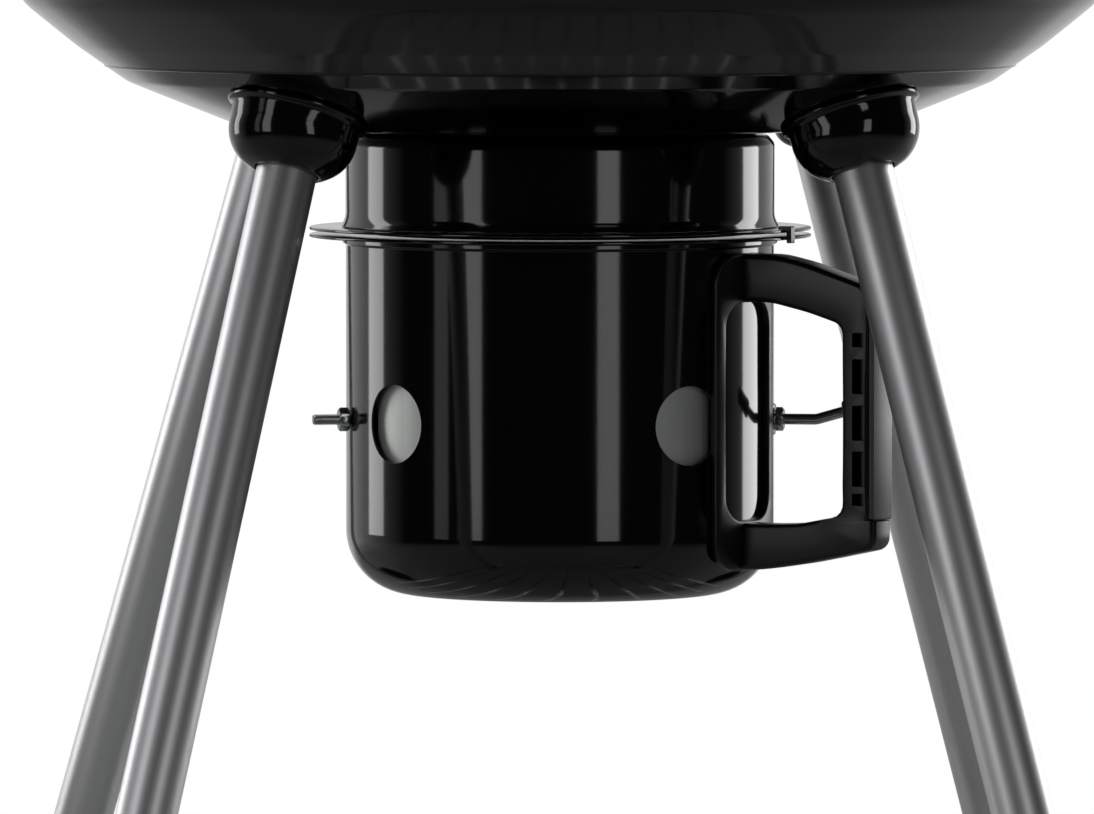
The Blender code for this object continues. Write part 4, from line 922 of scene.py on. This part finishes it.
def buildStraps():
    t, high, low, half = strap["thick"], strap["high"], strap["low"], strap["width"] / 2
    band = [(0.2640, high, 0.0005), (0.2878, high, 0.004), (0.2878, 0.6560, 0.010), (0.2330, low - t, 0.010),
            (0.2080, low - t, 0.0005), (0.2080, low, 0.0005), (0.2318, low, 0.0075), (0.2853, 0.6570, 0.0075),
            (0.2853, high - t, 0.0015), (0.2640, high - t, 0.0005)]
    for i, azimuth in enumerate(strap["places"]):
        mesh = placed(slab(filleted(band, closed=True, step=15), -half, half), turnTo(azimuth))
        showPiece(f"grateStrap{i + 1}", mesh, "galvanised_sheet", "kettle", [f"grate_strap_{i + 1}"])


def chord(x, radius, z, wire, alongX=False):
    reach = sqrt(radius ** 2 - x ** 2)
    ends = [(-reach, x, z), (reach, x, z)] if alongX else [(x, -reach, z), (x, reach, z)]
    return tube(ends, wire, 14, roundEnds=0.0004)


def buildGrates():
    coal, cook, ring, wire = grates["coal"], grates["cook"], grates["ring"], grates["cookWire"]
    z = strap["low"] + clearance + ring
    bars = [tube(circle(coal, z, 120), ring, 14, closed=True)]
    bars += [chord(-0.186 + 0.031 * i, coal, z, 0.0028) for i in range(13)]
    bars += [chord(y, coal, z + 0.0038, 0.0026, alongX=True) for y in (-0.100, 0.100)]
    showPiece("coalGrate", gathered(bars), "plated_wire", "charcoal_grate_unit", ["charcoal_grate"])
    z = strap["high"] + clearance + ring
    bars = [tube(circle(cook, z, 120), ring, 14, closed=True)]
    bars += [chord(grates["hinge"] * i / 8, cook, z, wire) for i in range(-8, 9)]
    bars += [chord(y, cook, z - 0.0046, 0.0028, alongX=True) for y in (-0.120, 0.120)]
    showPiece("cookGrate", gathered(bars), "plated_wire", "cooking_grate_unit", ["cooking_grate"])
    for name, side in (("left", -1), ("right", 1)):
        buildFlap(name, side, z + grates["lift"])


def buildFlap(name, side, z):
    hinge, rail = grates["hinge"], 0.0080
    outer = grates["cook"] - 0.0107
    reach = sqrt(outer ** 2 - (hinge + rail) ** 2) - 0.004
    span = asin(reach / outer) * 0.985
    path = [(hinge + rail, -reach)]
    path += [(outer * cos(span * (i / 20 - 1)), outer * sin(span * (i / 20 - 1))) for i in range(41)]
    path.append((hinge + rail, reach))
    bars = [tube([(side * x, y, z) for x, y in path], 0.0026, 12, closed=True)]
    for i in range(1, 5):
        bars.append(chord(side * (hinge + rail + 0.0190 * i), outer, z, 0.0023))
    showPiece(f"grateFlap{cornered(name)}", gathered(bars), "plated_wire", f"flap_{name}", [f"grate_flap_{name}"])


# The lid: a drawn dome whose skirt drops over the bowl's rim.
lid = {"z": 0.7580, "radius": 0.2890, "height": 0.1720, "round": 2.3, "sheet": 0.0012, "seat": 0.7508,
       "ventPlace": 215.0, "ventArc": 62.0, "gaugePlace": 0.0, "gaugeArc": 34.0, "handleSpread": 0.0550}
vent = {"hole": 0.0105, "ring": 0.0240, "disc": 0.0420, "rivet": 0.0033}


def lidSpot(arc, offset=0.0):
    # radius and height on the dome, arc 0 at its foot and 90 on top
    power = 2 / lid["round"]
    a = radians(arc)
    return (lid["radius"] - offset) * cos(a) ** power, lid["z"] + (lid["height"] - offset) * sin(a) ** power


def lidOut(spot):
    # the dome's outward direction at a point
    r, h = hypot(spot.x, spot.y), max(spot.z - lid["z"], 0.0)
    flat = (r / lid["radius"]) ** (lid["round"] - 1) / lid["radius"]
    up = (h / lid["height"]) ** (lid["round"] - 1) / lid["height"]
    return Vector((spot.x / r * flat, spot.y / r * flat, up)).normalized() if r > 0.004 and h > 0.004 else None


def lidFrame(azimuth, arc):
    spot = around(azimuth, *lidSpot(arc))
    (r0, z0), (r1, z1) = lidSpot(arc - 1), lidSpot(arc + 1)
    normal = around(azimuth, *Vector((z1 - z0, r0 - r1)).normalized())
    return lineFrame(spot, spot + normal)


def borer(radius, low, high, x=0.0, y=0.0, sides=48):
    rod = lathe([(0, low), (radius, low), (radius, high), (0, high)], sides)
    return placed(rod, Matrix.Translation((x, y, 0)))


def ventPunches(radius, low, high):
    turns = [2 * pi * k / 3 for k in range(3)]
    return [borer(radius, low, high, vent["ring"] * cos(a), vent["ring"] * sin(a), 64) for a in turns]


def buildLid():
    arcs = [2.0, 3.5, 5.0] + [6.5 + 1.7 * i for i in range(49)]
    top, seat = lid["z"] + lid["height"], lid["seat"]
    skirt = [(0.2878, 0.7562, 0.001), (0.2905, seat, 0.0015), (0.2992, seat, 0.0012)]
    skirt += [(0.2992, 0.7440, 0.0004), (0.3008, 0.7430, 0.0010), (0.3020, 0.7445, 0.0010)]
    skirt += [(0.3020, 0.7530, 0.0030), (0.2995, 0.7555, 0.0025), (0.2912, 0.7566, 0.0030)]
    outer = [(*lidSpot(a), 0) for a in arcs]
    inner = [(*lidSpot(a, lid["sheet"]), 0) for a in reversed(arcs)]
    crown = [(0, top, 0), (0, top - lid["sheet"], 0)]
    shell = turned(skirt + outer + crown + inner + [(0.2878, 0.7562, 0)], 192)
    ventFrame = lidFrame(lid["ventPlace"], lid["ventArc"])
    cuts = [placed(mesh, ventFrame) for mesh in ventPunches(vent["hole"], -0.02, 0.02)]
    cuts.append(placed(borer(vent["rivet"], -0.02, 0.02), ventFrame))
    cuts.append(placed(borer(0.0045, -0.02, 0.02), lidFrame(lid["gaugePlace"], lid["gaugeArc"])))
    cuts += [borer(gripBore, top - 0.02, top + 0.02, side * lid["handleSpread"]) for side in (-1, 1)]
    obj = showPiece("lidShell", carved(shell, gathered(cuts)), "black_enamel", "lid_unit", ["lid"])
    trueNormals(obj.data, lidOut)


def buildLidVent():
    disc, t = vent["disc"], 0.0012
    shape = [(0, 0.0008, 0), (disc, 0.0008, 0.0005), (disc, 0.0008 + t, 0.0005), (0.036, 0.0008 + t, 0.004),
             (0.0345, 0.0020 + t, 0.003), (0, 0.0020 + t, 0)]
    plate = turned(shape, 96)
    for v in plate.vertices:  # the disc is dished to follow the dome
        v.co.z -= 0.0008 * (hypot(v.co.x, v.co.y) / disc) ** 2
    cuts = ventPunches(vent["hole"], -0.01, 0.01) + [borer(vent["rivet"], -0.01, 0.01)]
    plate = carved(plate, gathered(cuts))
    bend = [(0.0400, 0.0004, 0.0003), (0.0565, 0.0004, 0.0022), (0.0565, 0.0108, 0.0004)]
    bend += [(0.0555, 0.0108, 0.0004), (0.0555, 0.0014, 0.0012), (0.0400, 0.0014, 0.0003)]
    tab = slab(filleted(bend, closed=True, step=15), -0.0070, 0.0070, 0.0003)
    plate = gathered([plate, placed(tab, Matrix.Rotation(radians(60), 4, "Z"))])
    onDome = lidFrame(lid["ventPlace"], lid["ventArc"])
    showPiece("lidVentDisc", placed(plate, onDome), "galvanised_sheet", "lid_vent", ["lid_damper"])
    rivet = [(0, 0.0064, 0), (0.0036, 0.0062, 0.004), (0.0060, 0.0038, 0.0012), (0.0060, 0.0028, 0.0003),
             (0.0029, 0.0028, 0.0001), (0.0029, -0.0060, 0.0006), (0, -0.0060, 0)]
    mesh = placed(turned(rivet, 40), onDome)
    showPiece("lidVentRivet", mesh, "galvanised_sheet", "lid_unit", ["lid_damper_rivet"])


def evenSpots(path, count):
    # this many points evenly along a 3-D path, its corners kept round by the path's own points
    lengths = [0.0]
    for near, far in zip(path, path[1:]):
        lengths.append(lengths[-1] + (far - near).length)
    extra = [lengths[-1] * i / (count - 1) for i in range(count)]
    spots = []
    for at in sorted(set([round(x, 7) for x in lengths] + [round(x, 7) for x in extra])):
        k = max(i for i, x in enumerate(lengths[:-1]) if x <= at + 1e-7)
        share = (at - lengths[k]) / max(lengths[k + 1] - lengths[k], 1e-9)
        spots.append(path[k].lerp(path[k + 1], min(share, 1.0)))
    kept = spots[:1]
    for spot in spots[1:]:
        if (spot - kept[-1]).length > 0.0004:
            kept.append(spot)
    return kept


def buildLidHandle():
    top, spread = lid["z"] + lid["height"], lid["handleSpread"]
    lift = Matrix.Translation((0, 0, top))
    bend = [(-0.078, -0.0042, 0.0004), (-0.040, -0.0002, 0.008), (-0.034, 0.0140, 0.008)]
    bend += [(-x, z, f) for x, z, f in reversed(bend)]
    bend += [(x, z + 0.0012, f) for x, z, f in reversed(bend)]
    plate = slab(filleted(bend, closed=True, step=12), -0.0240, 0.0240, 0.0004)
    plate = carved(plate, gathered([borer(gripBore, -0.01, 0.01, side * spread) for side in (-1, 1)]))
    showPiece("handleShield", placed(plate, lift), "galvanised_sheet", "lid_unit", ["lid_heat_shield"])
    base, bridge = 0.0009, 0.0460
    path = bent([(-spread, 0, base, 0), (-spread, 0, bridge, 0.018), (spread, 0, bridge, 0.018),
                 (spread, 0, base, 0)], 14)
    bar = tube(evenSpots(path, 60), 0.0110, 36, roundEnds=0.0006)
    for v in bar.vertices:  # fuller in the middle, with a flatter underside and flared feet
        swell = max(0.0, 1 - (v.co.x / 0.045) ** 2) if v.co.z > 0.030 else 0.0
        v.co.y *= 1 + 0.10 * swell
        if v.co.z < bridge and swell:
            v.co.z += 0.0012 * swell * min(1.0, (bridge - v.co.z) / 0.008)
        flare = 0.16 * max(0.0, 1 - v.co.z / 0.010)
        v.co.y *= 1 + flare
        v.co.x += (v.co.x - (spread if v.co.x > 0 else -spread)) * flare
    holes = gathered([borer(gripBore, -0.001, 0.0160, side * spread) for side in (-1, 1)])
    bar = placed(carved(bar, holes), lift)
    showPiece("lidGrip", bar, "moulded_black", "lid_unit", ["lid_handle"], sharp=50)
    bolt = [(0, -0.0086, 0), (0.0042, -0.0084, 0.004), (0.0060, -0.0060, 0.001), (0.0060, -0.0050, 0.0003),
            (0.0026, -0.0050, 0.0002), (0.0026, 0.0150, 0.0006), (0, 0.0150, 0)]
    for name, side in (("left", -1), ("right", 1)):
        mesh = placed(turned(bolt, 40), Matrix.Translation((side * spread, 0, top)))
        showPiece(f"lidBolt{cornered(name)}", mesh, "zinc_plate", "lid_unit", [f"lid_handle_bolt_{name}"])


# The lid's dial gauge: a plated case, a printed dial, a pointer and a probe through the lid.
gauge = {"case": 0.0265, "dial": 0.0222, "start": -135.0, "end": 135.0, "marks": 28, "reading": -78.0}


def buildGauge():
    onDome = lidFrame(lid["gaugePlace"], lid["gaugeArc"])
    rim = gauge["case"]
    case = [(0, 0.0022, 0), (0.0200, 0.0022, 0.003), (rim, 0.0060, 0.004), (rim, 0.0130, 0.0012)]
    case += [(0.0250, 0.0144, 0.0010), (0.0232, 0.0144, 0.0006), (0.0225, 0.0118, 0.0003), (0, 0.0118, 0)]
    probe = [(0, 0.0030, 0), (0.0040, 0.0030, 0.0002), (0.0040, -0.0270, 0.002), (0.0015, -0.0300, 0.001),
             (0, -0.0300, 0)]
    body = gathered([turned(case, 96), turned(probe, 32)])
    showPiece("gaugeCase", placed(body, onDome), "plated_wire", "lid_unit", ["thermometer"])
    face = turned([(0, 0.0119, 0), (gauge["dial"], 0.0119, 0.0001), (gauge["dial"], 0.0122, 0.0001),
                   (0, 0.0122, 0)], 96)
    showPiece("gaugeDial", placed(face, onDome), "plated_wire", "lid_unit", material=dialPaper)
    upright = Matrix.Rotation(-pi / 2, 4, "X")
    marks = []
    for i in range(gauge["marks"] + 1):
        turn = radians(gauge["start"] + (gauge["end"] - gauge["start"]) * i / gauge["marks"])
        inner, half = (0.0160, 0.00030) if i % 4 == 0 else (0.0180, 0.00016)
        mark = slab([(-half, inner), (half, inner), (half, 0.0200), (-half, 0.0200)], -0.01235, -0.01215)
        marks.append(placed(mark, Matrix.Rotation(-turn, 4, "Z") @ upright))
    showPiece("gaugeMarks", placed(gathered(marks), onDome), "plated_wire", "lid_unit", material=dialInk)
    blade = [(-0.0009, -0.0050), (0.0009, -0.0050), (0.0002, 0.0165), (-0.0002, 0.0165)]
    needle = slab(blade, -0.0131, -0.0128)
    needle = placed(needle, Matrix.Rotation(-radians(gauge["reading"]), 4, "Z") @ upright)
    hub = turned([(0, 0.0127, 0), (0.0020, 0.0127, 0.0001), (0.0020, 0.0134, 0.0005), (0, 0.0134, 0)], 32)
    pointer = placed(gathered([needle, hub]), onDome)
    showPiece("gaugeNeedle", pointer, "plated_wire", "lid_unit", material=pointerRed)


for build in (buildBowl, buildCollar, buildClip, buildPot, buildSleeve, buildLever, buildStud, buildPotHandle):
    build()
print("bowl, collar and ash pot built")
for name, leg in legs.items():
    buildSocket(name, leg)
    buildLeg(name, leg)
    buildLegBolt(name, leg)
for name in ("left", "right"):
    buildFoot(name, legs["front" + cornered(name)])
    buildPlug(name, legs["rear" + cornered(name)])
    buildSideGrip(name, -1 if name == "left" else 1)
buildWheels()
buildShelf()
print("legs, wheels and shelf built")
buildStraps()
buildGrates()
buildLid()
buildLidVent()
buildLidHandle()
buildGauge()
print("grates and lid built")


# A pale round floor, its edge fading out, and soft boxes that draw the long reflections.
stage = {"floor": 2.3, "fade": (1.2, 2.2), "sink": 0.0004, "around": 2.2}
boxes = [
    # name, from and to azimuth, low and high edge, radiance
    ("stripLeftRear", -123.0, -108.0, 0.20, 1.9, 3.2),
    ("stripLeft", -69.5, -61.0, 0.20, 1.6, 0.6),
    ("boxLeftFront", -55.0, -41.5, 0.20, 1.9, 1.8),
    ("boxRightFront", 19.5, 31.0, 0.20, 1.3, 1.8),
    ("boxRightRear", 114.0, 131.5, 0.20, 1.9, 4.8),
]
topBox = {"side": 1.2, "height": 2.6, "radiance": 0.7}
room = {"from": 0.1, "to": 0.9, "front": 0.02, "rear": 0.7}  # strength of the world from front to rear
camera = {"azimuth": -3.2, "distance": 6.36, "height": 0.7424, "aimHeight": 0.4180, "aimSide": 0.0069,
          "lens": 394.9, "sensor": 36.0, "clip": 200.0}
floorLook = {"base": "#b4b4b2", "gloss": 0.7, "cloud": (6.0, 3.0), "bump": (0.1, 0.0001)}


def buildFloor():
    disc = lathe([(0, 0), *[(stage["floor"] * (i / 24), 0) for i in range(1, 25)]], 128)
    material = makeMaterial("floorPainted", floorLook)
    tree = material.node_tree
    place = addNode(tree, "TexCoord").outputs["Object"]
    away = addNode(tree, "VectorMath", {"operation": "LENGTH"}, {0: place})
    near, far = stage["fade"]
    fade = addNode(tree, "MapRange", {"From Min": near, "From Max": far, "To Min": 1.0, "To Max": 0.0},
                   {"Value": away.outputs["Value"]})
    tree.links.new(fade.outputs["Result"], tree.nodes["Principled BSDF"].inputs["Alpha"])
    disc.materials.append(material)
    obj = bpy.data.objects.new("studioFloor", disc)
    bpy.context.scene.collection.objects.link(obj)
    obj.location.z = -stage["sink"]


def areaLight(name, width, height, radiance, spot):
    # an even panel at this spot, facing down; the camera does not see it
    light = bpy.data.lights.new(name, "AREA")
    light.shape = "RECTANGLE"
    light.size, light.size_y = width, height
    light.energy = radiance * width * height * pi
    obj = bpy.data.objects.new(name, light)
    obj.location = spot
    obj.visible_camera = False
    bpy.context.scene.collection.objects.link(obj)
    return obj


def buildLights():
    for name, start, end, low, high, radiance in boxes:
        width = 2 * stage["around"] * tan(radians(end - start) / 2)
        spot = around((start + end) / 2 + camera["azimuth"], stage["around"], (low + high) / 2)
        panel = areaLight(name, width, high - low, radiance, spot)
        panel.rotation_euler = Vector((-spot.x, -spot.y, 0)).to_track_quat("-Z", "Y").to_euler()
    areaLight("topBox", topBox["side"], topBox["side"], topBox["radiance"], (0, 0, topBox["height"]))


def buildWorld():
    # the room is dim in front and paler behind; what the camera sees past the floor is a white backdrop
    world = bpy.data.worlds.new("studioRoom")
    world.use_nodes = True
    bpy.context.scene.world = world
    tree = world.node_tree
    back = tree.nodes["Background"]
    turn = addNode(tree, "SeparateXYZ", {}, {"Vector": addNode(tree, "TexCoord").outputs["Generated"]})
    ramp = {"From Min": room["from"], "From Max": room["to"], "To Min": room["front"], "To Max": room["rear"]}
    strength = addNode(tree, "MapRange", ramp, {"Value": turn.outputs["Y"]})
    path = addNode(tree, "LightPath")
    pick = addNode(tree, "Mix", {"data_type": "FLOAT", "B": 1.0}, {"Factor": path.outputs["Is Camera Ray"]})
    tree.links.new(strength.outputs["Result"], pick.inputs["A"])
    tree.links.new(pick.outputs["Result"], back.inputs["Strength"])
    back.inputs["Color"].default_value = (1, 1, 1, 1)


def buildCamera():
    data = bpy.data.cameras.new("studioCamera")
    data.lens = camera["lens"]
    data.sensor_width = camera["sensor"]
    data.clip_end = camera["clip"]
    obj = bpy.data.objects.new("studioCamera", data)
    spot = around(camera["azimuth"], camera["distance"], camera["height"])
    right = around(camera["azimuth"] + 90, 1.0, 0)
    aim = Vector((0, 0, camera["aimHeight"])) - right * camera["aimSide"]
    obj.matrix_world = Matrix.Translation(spot) @ (aim - spot).to_track_quat("-Z", "Y").to_matrix().to_4x4()
    bpy.context.scene.collection.objects.link(obj)
    bpy.context.scene.camera = obj


buildFloor()
buildLights()
buildWorld()
buildCamera()
bpy.context.scene.view_settings.view_transform = "Standard"
print("stage, lights and camera set")
